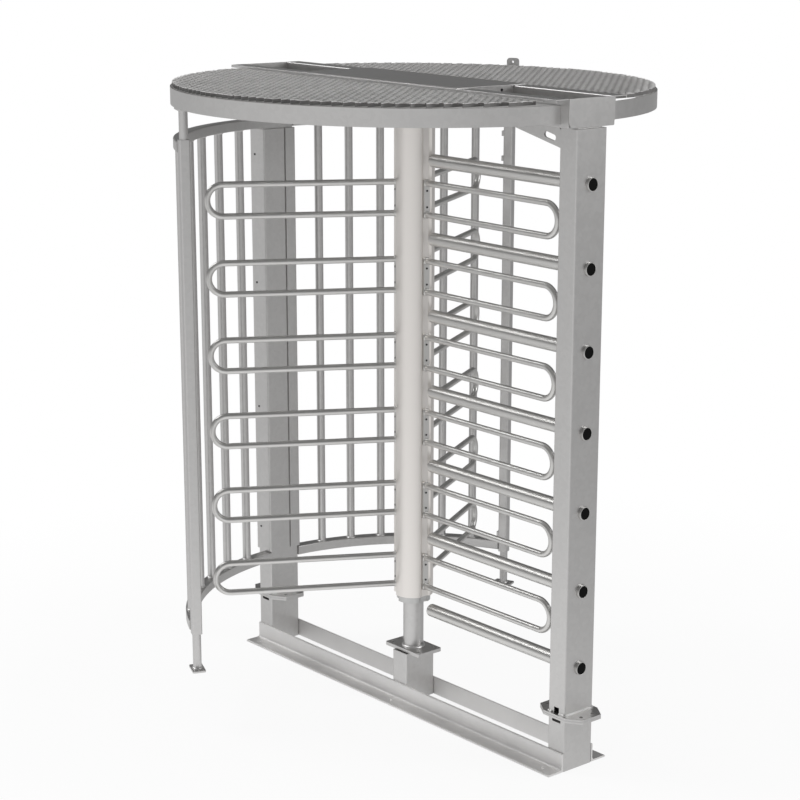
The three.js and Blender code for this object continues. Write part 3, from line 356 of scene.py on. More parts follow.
# Screws with a blackened skin.
BLACKENED = Metal("blackened_screw_steel", "machined_steel", "525253", "464647",
                  (0.40, 0.50), 10.0, 1.0, bump_mm=0.005)
# Oiled bronze of the thrust washer.
BRONZE = Metal("bearing_bronze", "bronze", "c9a56e", "ad8a56",
               (0.28, 0.36), 20.0, 1.0, bump_mm=0.01)
# Moulded polythene plugs and coil bodies, deep black with no gloss to speak of.
BLACK_POLYMER = Polymer("moulded_black_polythene", "black_plastic", "080808", "040404", 0.6, 1.2)


# Mesh tools. A mesh stays in millimetres until it is placed.

def block(low: Sequence[float], high: Sequence[float]) -> Mesh:
    """Plain block between two corners.

    Args:
        low: Corner with the smallest coordinates.
        high: Corner with the largest.

    Returns:
        The block's mesh.
    """
    mesh = bmesh.new()
    bmesh.ops.create_cube(mesh, size=1.0)
    low_v, high_v = Vector(low), Vector(high)
    bmesh.ops.scale(mesh, vec=high_v - low_v, verts=mesh.verts)
    bmesh.ops.translate(mesh, vec=(low_v + high_v) / 2, verts=mesh.verts)
    return mesh


def turned(mesh: Mesh, axis: Axis) -> Mesh:
    """Turns a shape drawn along Z so that it runs along another axis.

    Args:
        mesh: Shape that is changed and returned.
        axis: Axis that the shape then runs along.

    Returns:
        The same shape.
    """
    spins = {Axis.X: Matrix.Rotation(math.pi / 2, 3, "Y"),
             Axis.Y: Matrix.Rotation(-math.pi / 2, 3, "X")}
    if axis in spins:
        bmesh.ops.rotate(mesh, matrix=spins[axis], verts=mesh.verts)
    return mesh


def cylinder(radius: float, low: float, high: float, steps: int = 32, axis: Axis = Axis.Z,
             centre: Sequence[float] = (0.0, 0.0, 0.0)) -> Mesh:
    """Solid round bar.

    Args:
        radius: Radius of the bar.
        low: Where it starts along its axis.
        high: Where it ends along its axis.
        steps: Number of flats.
        axis: Direction of the bar.
        centre: A point on its middle line, whose place along the axis is added to both ends.

    Returns:
        The bar's mesh.
    """
    mesh = bmesh.new()
    bmesh.ops.create_cone(mesh, cap_ends=True, segments=steps, radius1=radius, radius2=radius,
                          depth=high - low)
    bmesh.ops.translate(mesh, vec=(0, 0, (low + high) / 2), verts=mesh.verts)
    return moved(turned(mesh, axis), centre)


def drills(radius: float, spots: Iterable[Pair], low: float, high: float,
           steps: int = HOLE_STEPS) -> list[Mesh]:
    """Upright drills at some spots, which pass both faces of a plate.

    Args:
        radius: Radius of the holes.
        spots: Middles of the holes, as X and Y.
        low: Underside of the plate.
        high: Top of the plate.
        steps: Number of flats.

    Returns:
        One drill for each spot.
    """
    return [cylinder(radius, low - PAST, high + PAST, steps, centre=(x, y, 0)) for x, y in spots]


def outward(mesh: Mesh) -> Mesh:
    """Turns all faces of a shape outward."""
    bmesh.ops.recalc_face_normals(mesh, faces=mesh.faces)
    return mesh


def sealed(mesh: Mesh) -> Mesh:
    """Closes the open ends of a shape."""
    bmesh.ops.holes_fill(mesh, edges=[e for e in mesh.edges if e.is_boundary], sides=0)
    return outward(mesh)


def bisected(mesh: Mesh, distance: float) -> Mesh:
    """Keeps the part of a shape that lies in front of a plane across Y.

    Args:
        mesh: Shape that is changed and returned.
        distance: How far in front of the axis the plane stands.

    Returns:
        The same shape.
    """
    bmesh.ops.bisect_plane(mesh, geom=mesh.verts[:] + mesh.edges[:] + mesh.faces[:],
                           plane_co=(0, -distance, 0), plane_no=(0, 1, 0), clear_outer=True)
    return mesh


def of_kind(made: Iterable[object], kind: type) -> list:
    """Elements of one kind among those that an operation made."""
    return [element for element in made if isinstance(element, kind)]


def extrude(mesh: Mesh, faces: list[bmesh.types.BMFace], step: Sequence[float]) -> None:
    """Draws faces out by a step.

    Args:
        mesh: Mesh that gets the drawn shape.
        faces: Faces that are drawn out.
        step: How far, along each axis.
    """
    made = bmesh.ops.extrude_face_region(mesh, geom=faces)["geom"]
    bmesh.ops.translate(mesh, vec=step, verts=of_kind(made, Vert))


def spin(mesh: Mesh, geom: list[Vert | Edge | bmesh.types.BMFace], angle: float, steps: int,
         centre: Triple = (0, 0, 0), axis: Triple = (0, 0, 1), merge: bool = False) -> list:
    """Spins part of a mesh about an axis.

    Args:
        mesh: Mesh that gets the spun shape.
        geom: Part of it that is spun.
        angle: Angle of the spin.
        steps: Number of flats.
        centre: A point on the axis.
        axis: Direction of the axis.
        merge: True for a full turn, whose end is merged with its start.

    Returns:
        The end of the spun shape.
    """
    return bmesh.ops.spin(mesh, geom=geom, cent=centre, axis=axis, dvec=(0, 0, 0), angle=angle,
                          steps=steps, use_merge=merge, use_duplicate=False)["geom_last"]


def round_corners(mesh: Mesh, corners: list[Vert], radius: float, steps: int) -> None:
    """Rounds corners of a flat outline.

    Args:
        mesh: Mesh of the outline.
        corners: Corners that are rounded.
        radius: Radius of the rounds.
        steps: Number of flats in each.
    """
    bmesh.ops.bevel(mesh, geom=corners, offset=radius, offset_type="OFFSET", segments=steps,
                    profile=0.5, affect="VERTICES", material=-1)


def round_edges(mesh: Mesh, edges: list[Edge], radius: float, steps: int) -> None:
    """Rounds edges of a solid.

    Args:
        mesh: Mesh of the solid.
        edges: Edges that are rounded.
        radius: Radius of the rounds.
        steps: Number of flats in each.
    """
    bmesh.ops.bevel(mesh, geom=edges, offset=radius, offset_type="OFFSET", segments=steps,
                    profile=0.5, affect="EDGES", material=-1, clamp_overlap=True)


def edges_along(mesh: Mesh, axis: Axis) -> list[Edge]:
    """Edges that run parallel to an axis.

    Args:
        mesh: Mesh that is searched.
        axis: Axis that the edges follow.

    Returns:
        The edges.
    """
    runs = [(e, (e.verts[1].co - e.verts[0].co).normalized()) for e in mesh.edges]
    return [e for e, run in runs if abs(run[axis.value]) > 0.999]


def soften(mesh: Mesh, radius: float = 0.8, steps: int = 2, least: float = 50.0) -> Mesh:
    """Breaks the sharp edges, so that they catch the light as a real plate's do.

    Args:
        mesh: Shape that is changed and returned.
        radius: Radius of the new edges.
        steps: Number of flats in each.
        least: Edges that turn by more degrees than this are broken.

    Returns:
        The same shape.
    """
    sharp = [e for e in mesh.edges if e.is_manifold and math.degrees(e.calc_face_angle()) > least]
    round_edges(mesh, sharp, radius, steps)
    return mesh


def draw_out(outline: Plane, low: float, high: float, axis: Axis = Axis.Z,
             rounds: dict[float, Sequence[int]] | None = None, steps: int = 4) -> Mesh:
    """Draws a flat outline out along an axis.

    Args:
        outline: Corners in the plane across the axis: (Y, Z), (X, Z) or (X, Y).
        low: Where the shape starts along the axis.
        high: Where it ends.
        axis: Direction of the draw.
        rounds: Corner radii and the numbers of the corners that get them.
        steps: Number of flats in each round.

    Returns:
        The closed shape.
    """
    mesh = bmesh.new()
    corners = []
    for pair in outline:
        spot = list(pair)
        spot.insert(axis.value, low)
        corners.append(mesh.verts.new(spot))
    mesh.faces.new(corners)
    for radius, numbers in (rounds or {}).items():
        round_corners(mesh, [corners[n] for n in numbers], radius, steps)
    step = [0.0, 0.0, 0.0]
    step[axis.value] = high - low
    extrude(mesh, mesh.faces[:], step)
    return outward(mesh)


def hollow(mesh: Mesh, wall: float) -> Mesh:
    """Turns an upright solid bar into a tube with this wall, open at both ends.

    Args:
        mesh: Shape that is changed and returned.
        wall: Thickness of the wall.

    Returns:
        The same shape.
    """
    mesh.normal_update()
    heights = [v.co.z for v in mesh.verts]
    ends = (min(heights), max(heights))
    caps = [f for f in mesh.faces if abs(f.normal.z) > 0.99
            and all(min(abs(v.co.z - end) for end in ends) < 1e-3 for v in f.verts)]
    loops = []
    for cap in caps:
        bmesh.ops.inset_region(mesh, faces=[cap], thickness=wall, use_even_offset=True)
        loops.extend(cap.edges)
        mesh.faces.remove(cap)
    bmesh.ops.bridge_loops(mesh, edges=loops)
    return outward(mesh)


def spun(profile: Plane, steps: int = TUBE_STEPS, low: float = 0.0) -> Mesh:
    """Spins a closed profile about Z.

    Args:
        profile: Corners as (radius, height).
        steps: Number of flats.
        low: Height that is added to the whole profile.

    Returns:
        The turned shape.
    """
    mesh = bmesh.new()
    corners = [mesh.verts.new((r, 0.0, z + low)) for r, z in profile]
    edges = [mesh.edges.new((corners[i - 1], corners[i])) for i in range(len(corners))]
    spin(mesh, corners + edges, FULL_TURN, steps, merge=True)
    bmesh.ops.remove_doubles(mesh, verts=mesh.verts, dist=1e-4)
    return sealed(mesh)


def moved(mesh: Mesh, shift: Sequence[float] = (0, 0, 0), azimuth: float = 0.0) -> Mesh:
    """Moves a shape and then turns it about Z.

    Args:
        mesh: Shape that is changed and returned.
        shift: Move along each axis.
        azimuth: Angle of the turn that follows.

    Returns:
        The same shape.
    """
    bmesh.ops.translate(mesh, vec=shift, verts=mesh.verts)
    if azimuth:
        bmesh.ops.rotate(mesh, cent=(0, 0, 0), matrix=Matrix.Rotation(azimuth, 3, "Z"),
                         verts=mesh.verts)
    return mesh


def mirrored(mesh: Mesh, factors: Triple) -> Mesh:
    """Mirrors a shape by factors of one and minus one.

    Args:
        mesh: Shape that is changed and returned.
        factors: One or minus one for each axis, with a single minus one.

    Returns:
        The same shape.
    """
    bmesh.ops.scale(mesh, vec=factors, verts=mesh.verts)
    bmesh.ops.reverse_faces(mesh, faces=mesh.faces)
    return mesh


def reflected(mesh: Mesh, side: Side) -> Mesh:
    """Reflects a shape that was drawn for the front half, where the rear half is wanted."""
    return mirrored(mesh, (1, -1, 1)) if side is Side.REAR else mesh


def gathered(*parts: Mesh) -> Mesh:
    """Puts several shapes into one mesh and frees them.

    Args:
        parts: Shapes that are put together.

    Returns:
        The new mesh.
    """
    whole = bmesh.new()
    for part in parts:
        carrier = bpy.data.meshes.new("carrier")
        part.to_mesh(carrier)
        part.free()
        whole.from_mesh(carrier)
        bpy.data.meshes.remove(carrier)
    return whole


def linked(name: str, mesh: Mesh) -> bpy.types.Object:
    """Puts a mesh into the scene as an object and frees it.

    Args:
        name: Name of the object.
        mesh: Its shape.

    Returns:
        The object.
    """
    data = bpy.data.meshes.new(name)
    mesh.to_mesh(data)
    mesh.free()
    made = bpy.data.objects.new(name, data)
    bpy.context.scene.collection.objects.link(made)
    return made


def cut(body: Mesh, *tools: Mesh) -> Mesh:
    """Takes tools out of a body and frees them all.

    Args:
        body: Closed shape that is cut.
        tools: Closed shapes that don't touch each other.

    Returns:
        What is left of the body.
    """
    holders = [linked("cutting", shape) for shape in (body, gathered(*tools))]
    change = holders[0].modifiers.new("cut", "BOOLEAN")
    change.operation, change.solver, change.object = "DIFFERENCE", "EXACT", holders[1]
    view = bpy.context.evaluated_depsgraph_get()
    result = bpy.data.meshes.new_from_object(holders[0].evaluated_get(view))
    left = bmesh.new()
    left.from_mesh(result)
    bpy.data.meshes.remove(result)
    for holder in holders:
        data = holder.data
        bpy.data.objects.remove(holder)
        bpy.data.meshes.remove(data)
    bmesh.ops.remove_doubles(left, verts=left.verts, dist=1e-3)
    return left


def bar_of(width: float, depth: float, low: float, high: float, corner: float, x: float = 0.0,
           steps: int = 6) -> Mesh:
    """Solid upright bar with round corners, over the X axis.

    Args:
        width: Size along X.
        depth: Size along Y.
        low: Lower end.
        high: Upper end.
        corner: Radius of its upright edges.
        x: Where its middle stands on the X axis.
        steps: Number of flats in each round.

    Returns:
        The bar's mesh.
    """
    mesh = block((x - width / 2, -depth / 2, low), (x + width / 2, depth / 2, high))
    if corner:
        round_edges(mesh, edges_along(mesh, Axis.Z), corner, steps)
    return mesh


def plate(width: float, depth: float, low: float, high: float, corner: float, x: float = 0.0,
          edge: float = 0.8) -> Mesh:
    """Flat plate with round corners and broken edges.

    Args:
        width: Size along X.
        depth: Size along Y.
        low: Underside.
        high: Top.
        corner: Radius of its corners.
        x: Where its middle stands on the X axis.
        edge: Radius of its broken edges.

    Returns:
        The plate's mesh.
    """
    return soften(bar_of(width, depth, low, high, corner, x, 5), edge)


def square_tube(section: Quad, low: float, high: float, x: float = 0.0) -> Mesh:
    """Upright tube, open at both ends, of this width, depth, wall and corner radius.

    Args:
        section: Width, depth, wall and corner radius.
        low: Lower end.
        high: Upper end.
        x: Where its middle stands on the X axis.

    Returns:
        The tube's mesh.
    """
    width, depth, wall, corner = section
    return hollow(bar_of(width, depth, low, high, corner, x), wall)


def weld_ring(radius: float, leg: float, low: float, steps: int = 32) -> Mesh:
    """Fillet weld round an upright tube that stands at a height.

    Args:
        radius: Radius of the tube.
        leg: Size of the bead.
        low: Height of its foot.
        steps: Number of flats.

    Returns:
        The bead's mesh.
    """
    bulge, flank, toe = leg * 0.62, leg * 0.95, 0.6
    return spun([(radius - BITE, -BITE), (radius + leg, -BITE), (radius + flank, toe),
                 (radius + bulge, bulge), (radius + toe, flank), (radius - BITE, leg)], steps, low)


def weld_frame(section: Quad, leg: float, low: float, x: float) -> Mesh:
    """Fillet weld round the foot of an upright rectangular tube.

    Args:
        section: Width, depth, wall and corner radius of the tube.
        leg: Size of the bead.
        low: Height of its foot.
        x: Where the tube stands on the X axis.

    Returns:
        The bead's mesh.
    """
    width, depth, _, corner = section
    lap, apart, rounding = 0.4, 1.0, 0.9 * leg
    mesh = bar_of(width + 2 * leg, depth + 2 * leg, low - BITE, low + leg, corner + leg, x)
    hollow(mesh, leg + lap)

    def outer(vert: Vert) -> bool:
        """Whether a corner of the bead lies clear of the tube's own skin."""
        u, v = abs(vert.co.x - x) - width / 2, abs(vert.co.y) - depth / 2
        at_corner = min(u, v) > -corner and math.hypot(u + corner, v + corner) > corner + apart
        return max(u, v) > BITE or at_corner

    rim = [e for e in mesh.edges if all(v.co.z > low and outer(v) for v in e.verts)]
    round_edges(mesh, rim, rounding, 4)
    return mesh


def place(name: str, mesh: Mesh, finish: Finish, node: str = "",
          body: str = "portal") -> bpy.types.Object:
    """Makes a finished piece from a mesh in millimetres.

    Args:
        name: Name of the piece.
        mesh: Its shape, which is freed.
        finish: Its metal or plastic.
        node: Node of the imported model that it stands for, if any.
        body: Moving body that it rides on.

    Returns:
        The piece.
    """
    bmesh.ops.scale(mesh, vec=(MM, MM, MM), verts=mesh.verts)
    for face in mesh.faces:
        face.smooth = True
    for edge in mesh.edges:
        if not edge.is_manifold or math.degrees(edge.calc_face_angle()) > CREASE:
            edge.smooth = False
    piece = linked(name, mesh)
    even = piece.modifiers.new("even_normals", "WEIGHTED_NORMAL")
    even.keep_sharp = True
    piece.data.materials.append(finish.material())
    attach(piece, body)
    if node:
        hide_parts(node)
    log.info("%s: %d faces on %s", name, len(piece.data.polygons), body)
    return piece


def place_half(name: str, mesh: Mesh, side: Side, finish: Finish, node: str = "") -> None:
    """Places a shape that was drawn for the front half, with its half's word in both names.

    Args:
        name: Name of the piece, with braces for the half's word.
        mesh: Its shape.
        side: Half that it belongs to.
        finish: Its metal or plastic.
        node: Node that it stands for, with braces for the half's word.
    """
    place(name.format(side.label), reflected(mesh, side), finish, node.format(side.label))


# Studio

@dataclass
class Studio:
    """Floor, soft light and the camera of the photograph. Lengths are in metres.

    Attributes:
        lamps: Name, place, width and watts of each lamp.
        aim: Point that the lamps face.
        brightest: Azimuth of the side that metal mirrors as the brightest.
        glow_range: What metal mirrors on the dimmest and the brightest side.
        near_glow: Share of that which the floor gives near the object and further off.
        shadow_share: How bright the floor is by itself under the object.
        horizon: Mirrored tone of the world at eye level, which falls to the ceiling's.
        dusk: How fast it falls on the dimmest and the brightest side.
        diffuse_share: How much the world lights what isn't a mirror.
    """

    eye: Triple = (5.98599, -5.06910, 3.14167)
    right: Triple = (0.6676853, 0.74438045, 0.00969923)
    up: Triple = (-0.194177, 0.16156313, 0.96757049)
    lens_mm: float = 91.896
    sensor_mm: float = 36.0
    shift: Pair = (-0.0939, 0.0460)
    lamps: tuple[tuple[str, Triple, float, float], ...] = (
        ("key_light", (-5.25, -2.93, 6.8), 3.2, 150.0), ("fill_light", (5.5, 3.5, 4.6), 3.0, 90.0))
    aim: Triple = (0.0, 0.0, 1.2)
    floor_half: float = 60.0
    floor_drop: float = 0.0003
    floor_tone: str = "f4f4f4"
    brightest: float = math.radians(-80.0)
    glow_range: Pair = (0.375, 0.81)
    near_glow: Pair = (1.17, 0.95)
    near_reach: Pair = (0.5, 5.0)
    shadow_share: float = 0.88
    shadow_reach: Pair = (1.6, 3.2)
    horizon: float = 0.85
    ceiling: float = 0.28
    ceiling_rise: float = 0.16
    dusk: Pair = (1.5, 0.45)
    diffuse_share: float = 0.72

    def build(self) -> None:
        """Makes the camera, the floor, the lamps and the world."""
        self.camera()
        self.floor()
        for lamp in self.lamps:
            self.hang(*lamp)
        self.world()
        bpy.context.scene.view_settings.view_transform = "Standard"

    def camera(self) -> None:
        """Places the camera at the photograph's viewpoint."""
        data = bpy.data.cameras.new("camera")
        data.sensor_fit = "HORIZONTAL"
        data.sensor_width, data.lens = self.sensor_mm, self.lens_mm
        data.shift_x, data.shift_y = self.shift
        data.clip_start, data.clip_end = 0.1, 400.0
        camera = bpy.data.objects.new("camera", data)
        right, up = Vector(self.right), Vector(self.up)
        facing = Matrix((right, up, right.cross(up))).transposed()
        camera.matrix_world = Matrix.Translation(self.eye) @ facing.to_4x4()
        bpy.context.scene.collection.objects.link(camera)
        bpy.context.scene.camera = camera

    def hang(self, name: str, spot: Triple, width: float, watts: float) -> None:
        """Hangs a soft square lamp that faces the object.

        Args:
            name: Name of the lamp.
            spot: Where it hangs.
            width: Its width.
            watts: Its power.
        """
        data = bpy.data.lights.new(name, "AREA")
        data.shape, data.size, data.size_y, data.energy = "RECTANGLE", width, width, watts
        lamp = bpy.data.objects.new(name, data)
        lamp.location = spot
        lamp.rotation_mode = "QUATERNION"
        lamp.rotation_quaternion = (Vector(self.aim) - Vector(spot)).to_track_quat("-Z", "Y")
        bpy.context.scene.collection.objects.link(lamp)

    def by_side(self, tree: Tree, heading: Socket, levels: Pair) -> Socket:
        """Value in a heading that goes from the dimmest side's level to the brightest side's.

        Args:
            tree: Tree of the floor or the world.
            heading: Place on the floor, or direction of the world.
            levels: Value on the dimmest and the brightest side.

        Returns:
            The value.
        """
        unit = add_node(tree, "VectorMath", {"operation": "NORMALIZE"}, links={0: heading})
        towards = (math.cos(self.brightest), math.sin(self.brightest), 0.0)
        lean = add_node(tree, "VectorMath", {"operation": "DOT_PRODUCT"}, {1: towards},
                        {0: unit.outputs[0]}).outputs["Value"]
        return add_node(tree, "MapRange", links={"Value": lean}, values={
            "From Min": -1.0, "From Max": 1.0,
            "To Min": levels[0], "To Max": levels[1]}).outputs["Result"]

    def by_distance(self, tree: Tree, spot: Socket, reach: Pair, levels: Pair) -> Socket:
        """Value that goes from one level near the object to another further off.

        Args:
            tree: Tree of the floor.
            spot: Place on the floor.
            reach: Distances where the value starts and stops to change.
            levels: Value up to the first and from the second.

        Returns:
            The value.
        """
        distance = add_node(tree, "VectorMath", {"operation": "LENGTH"}, links={0: spot})
        return add_node(tree, "MapRange", links={"Value": distance.outputs["Value"]}, values={
            "From Min": reach[0], "From Max": reach[1],
            "To Min": levels[0], "To Max": levels[1]}).outputs["Result"]

    def floor(self) -> None:
        """Lays the pale floor, which keeps the shadow under the object."""
        mesh = bmesh.new()
        bmesh.ops.create_grid(mesh, x_segments=1, y_segments=1, size=self.floor_half)
        floor = linked("floor", moved(mesh, (0, 0, -self.floor_drop)))
        made = blank_material("pale_floor")
        tree = made.node_tree
        path = add_node(tree, "LightPath").outputs
        spot = add_node(tree, "TexCoord").outputs["Object"]
        glow = add_node(tree, "Math", {"operation": "MULTIPLY"}, links={
            0: self.by_distance(tree, spot, self.near_reach, self.near_glow),
            1: self.by_side(tree, spot, self.glow_range)}).outputs[0]
        shown = add_node(tree, "Mix", values={2: 1.0},
                         links={0: path["Is Glossy Ray"], 3: glow}).outputs[0]
        matt = add_node(tree, "BsdfDiffuse", values={"Color": linear(self.floor_tone)})
        white = add_node(tree, "Emission", values={"Color": WHITE}, links={"Strength": shown})
        clear = self.by_distance(tree, spot, self.shadow_reach, (self.shadow_share, 1.0))
        seen = add_node(tree, "Math", {"operation": "SUBTRACT"}, {0: 1.0},
                        {1: path["Is Diffuse Ray"]}).outputs[0]
        share = add_node(tree, "Math", {"operation": "MULTIPLY"},
                         links={0: clear, 1: seen}).outputs[0]
        both = add_node(tree, "MixShader", links={
            0: share, 1: matt.outputs[0], 2: white.outputs[0]})
        add_node(tree, "OutputMaterial", links={"Surface": both.outputs[0]})
        floor.data.materials.append(made)

    def world(self) -> None:
        """Surrounds the studio: white to the eye, with a dim ceiling for what metal mirrors."""
        world = bpy.data.worlds.new("studio")
        world.use_nodes = True
        bpy.context.scene.world = world
        tree = world.node_tree
        tree.nodes.clear()
        heading = add_node(tree, "TexCoord").outputs["Generated"]
        rise = add_node(tree, "SeparateXYZ", links={"Vector": heading}).outputs["Z"]
        height = add_node(tree, "Math", {"operation": "MULTIPLY"}, links={
            0: rise, 1: self.by_side(tree, heading, self.dusk)}).outputs[0]
        low, high = ((tone, tone, tone, 1.0) for tone in (self.horizon, self.ceiling))
        sky = add_node(tree, "ValToRGB", links={"Fac": height},
                       stops=((0.0, low), (self.ceiling_rise, high)))
        path = add_node(tree, "LightPath").outputs
        mirror = add_node(tree, "Background", links={
            "Color": sky.outputs["Color"],
            "Strength": self.by_side(tree, heading, self.glow_range)})
        plain, white = (add_node(tree, "Background", values={"Color": WHITE, "Strength": level})
                        for level in (self.diffuse_share, 1.0))
        lit = add_node(tree, "MixShader", links={
            0: path["Is Glossy Ray"], 1: plain.outputs[0], 2: mirror.outputs[0]})
        clear = add_node(tree, "Math", {"operation": "MAXIMUM"}, links={
            0: path["Is Camera Ray"], 1: path["Is Transmission Ray"]})
        both = add_node(tree, "MixShader", links={
            0: clear.outputs[0], 1: lit.outputs[0], 2: white.outputs[0]})
        add_node(tree, "OutputWorld", links={"Surface": both.outputs[0]})


# Base frame and posts

@dataclass
class FootPlate:
    """Chamfered plate with four bolt holes and a cable bore.

    Attributes:
        chamfer: Cut of the corners, along X and Y.
        hole: Bolt holes from the middle, along X and Y.
    """

    length: float = 230.0
    width: float = 170.0
    thick: float = 9.0
    chamfer: Pair = (57.0, 38.0)
    hole_radius: float = 7.0
    hole: Pair = (88.0, 30.0)
    bore: float = 16.0

    def mesh(self, centre_x: float, low: float) -> Mesh:
        """Plate with its underside at a height.

        Args:
            centre_x: Where its middle stands on the X axis.
            low: Height of its underside.

        Returns:
            The plate's mesh.
        """
        x, y = self.length / 2, self.width / 2
        in_x, in_y = x - self.chamfer[0], y - self.chamfer[1]
        corners = [(x, -in_y), (x, in_y), (in_x, y), (-in_x, y),
                   (-x, in_y), (-x, -in_y), (-in_x, -y), (in_x, -y)]
        high = low + self.thick
        flat = draw_out([(centre_x + u, v) for u, v in corners], low, high)
        spots = [(centre_x + u * self.hole[0], v * self.hole[1])
                 for u, v in product((-1, 1), (-1, 1))]
        return cut(soften(flat, 1.0, least=30.0), *drills(self.hole_radius, spots, low, high),
                   *drills(self.bore, [(centre_x, 0.0)], low, high, 32))


@dataclass
class BaseFrame:
    """Two long angles with three stubs of rectangular tube between them.

    Attributes:
        hole_inset: Outer anchor holes from the ends of the angle.
        hole_out: Anchor holes from the middle, along Y.
        opening: Half the width of the cable opening, and the height of its sill.
    """

    half_length: float = 955.0
    leg: float = 74.0
    flange: float = 76.0
    thick: float = 8.0
    root: float = 9.0
    toe: float = 4.0
    hole_radius: float = 7.0
    hole_inset: float = 65.0
    hole_out: float = 118.0
    opening: Pair = (22.0, 188.0)
    foot: FootPlate = field(default_factory=FootPlate)

    def build(self) -> None:
        """Makes the angles and the stubs."""
        for side in Side:
            # The angles' whiter zinc is a painted reflection.
            place_half("base_angle_{}_steel", self.angle(), side, ANGLE_ZINC_PAINTED_REFLECTION, "base_angle_{}")
        for label, x in (("cage", -POST_X), ("comb", POST_X)):
            place(f"{label}_stub_tube", self.post_stub(x), GALVANISED, f"{label}_stub")
            place(f"{label}_stub_plate", self.foot.mesh(x, STUB_TOP), GALVANISED)
        place("rotor_stub_tube", square_tube(POST_TUBE, 0.0, STUB_TOP), GALVANISED, "rotor_stub")

    def angle(self) -> Mesh:
        """Rolled angle along the front, with its anchor holes.

        Returns:
            The angle's mesh, drawn for the front.
        """
        near, out, end = (-POST_FACE - depth for depth in (0.0, self.thick, self.flange))
        outline = [(near, 0.0), (near, self.leg), (out, self.leg), (out, self.thick),
                   (end, self.thick), (end, 0.0)]
        bar = draw_out(outline, -self.half_length, self.half_length, Axis.X,
                       {self.toe: (2, 4), self.root: (3,)}, 5)
        reach = self.half_length - self.hole_inset
        spots = [(x, -self.hole_out) for x in (-reach, 0.0, reach)]
        return cut(soften(bar, 0.7), *drills(self.hole_radius, spots, 0.0, self.thick))

    def post_stub(self, x: float) -> Mesh:
        """Stub under a post, with the cable opening in its front wall.

        Args:
            x: Where it stands on the X axis.

        Returns:
            The stub's mesh.
        """
        half, low = self.opening
        gap = block((x - half, -POST_FACE - 2 * PAST, low),
                    (x + half, -POST_FACE + 2 * PAST, STUB_TOP + 2 * PAST))
        return cut(square_tube(POST_TUBE, 0.0, STUB_TOP, x), gap)


@dataclass
class Posts:
    """The two upright posts, each with a foot plate, a weld round its foot and a head plate.

    Attributes:
        notch: Half the width of the cable notch, and its rise above the foot plate.
        weld_gap: Where the gap in the comb post's weld starts and ends, from its middle.
        bore_reach: Half the length of the cutters for the comb's bores.
    """

    top: float = 2392.0
    head_thick: float = 4.2
    head_inset: float = 12.0
    weld_leg: float = 6.0
    notch: Pair = (13.0, 24.0)
    weld_gap: Pair = (-24.0, 14.0)
    bar_radius: float = 25.8
    bore_reach: float = 60.0
    foot: FootPlate = field(default_factory=FootPlate)

    @property
    def foot_top(self) -> float:
        """Upper face of the foot plate, on which the tube stands."""
        return FOOT_LOW + self.foot.thick

    def build(self) -> None:
        """Makes the cage post and the comb post."""
        width, depth, _, corner = POST_TUBE
        inset = 2 * self.head_inset
        for label, x, shaft, bead in (("cage", -POST_X, self.shaft(-POST_X), self.weld(-POST_X)),
                                      ("comb", POST_X, self.comb_shaft(), self.comb_weld())):
            place(f"{label}_post_tube", shaft, GALVANISED, f"{label}_post")
            # The weld bead's whiter zinc is a painted highlight.
            place(f"{label}_post_weld", bead, WELD_ZINC_PAINTED_HIGHLIGHT)
            place(f"{label}_post_foot", self.foot.mesh(x, FOOT_LOW), GALVANISED)
            head = plate(width - inset, depth - inset, self.top - BITE,
                         self.top + self.head_thick, corner, x, 0.5)
            place(f"{label}_post_head", head, GALVANISED)

    def shaft(self, x: float) -> Mesh:
        """Tube that is closed at its top by a cap.

        Args:
            x: Where it stands on the X axis.

        Returns:
            The tube's mesh.
        """
        width, depth, wall, corner = POST_TUBE
        mesh = bar_of(width, depth, self.foot_top - BITE, self.top, corner, x)
        mesh.normal_update()
        under = [f for f in mesh.faces if f.normal.z < -0.9]
        bmesh.ops.inset_region(mesh, faces=under, thickness=wall, use_even_offset=True)
        extrude(mesh, under, (0, 0, self.top - wall - self.foot_top))
        bmesh.ops.delete(mesh, geom=[f for f in under if f.is_valid], context="FACES_ONLY")
        return outward(mesh)

    def comb_shaft(self) -> Mesh:
        """Comb post with the bores for its bars and the cable notch at its front foot.

        Returns:
            The tube's mesh.
        """
        half, rise = self.notch
        face = -POST_TUBE[1] / 2
        notch = block((POST_X - half, face - 3 * PAST, self.foot_top - 2 * BITE),
                      (POST_X + half, face + 2 * PAST, self.foot_top + rise))
        bores = [cylinder(self.bar_radius, POST_X - self.bore_reach, POST_X + self.bore_reach,
                          TUBE_STEPS, Axis.X, (0, 0, z)) for z in COMB_LEVELS]
        return cut(self.shaft(POST_X), notch, *bores)

    def weld(self, x: float) -> Mesh:
        """Bead round the foot of a post."""
        return weld_frame(POST_TUBE, self.weld_leg, self.foot_top, x)

    def comb_weld(self) -> Mesh:
        """Bead round the comb post, left out where the cable passes.

        Returns:
            The bead's mesh.
        """
        face, low = -POST_TUBE[1] / 2, self.foot_top
        gap = block((POST_X + self.weld_gap[0], face - 4 * PAST, low - PAST),
                    (POST_X + self.weld_gap[1], face + PAST, low + 4 * PAST))
        return cut(self.weld(POST_X), gap)


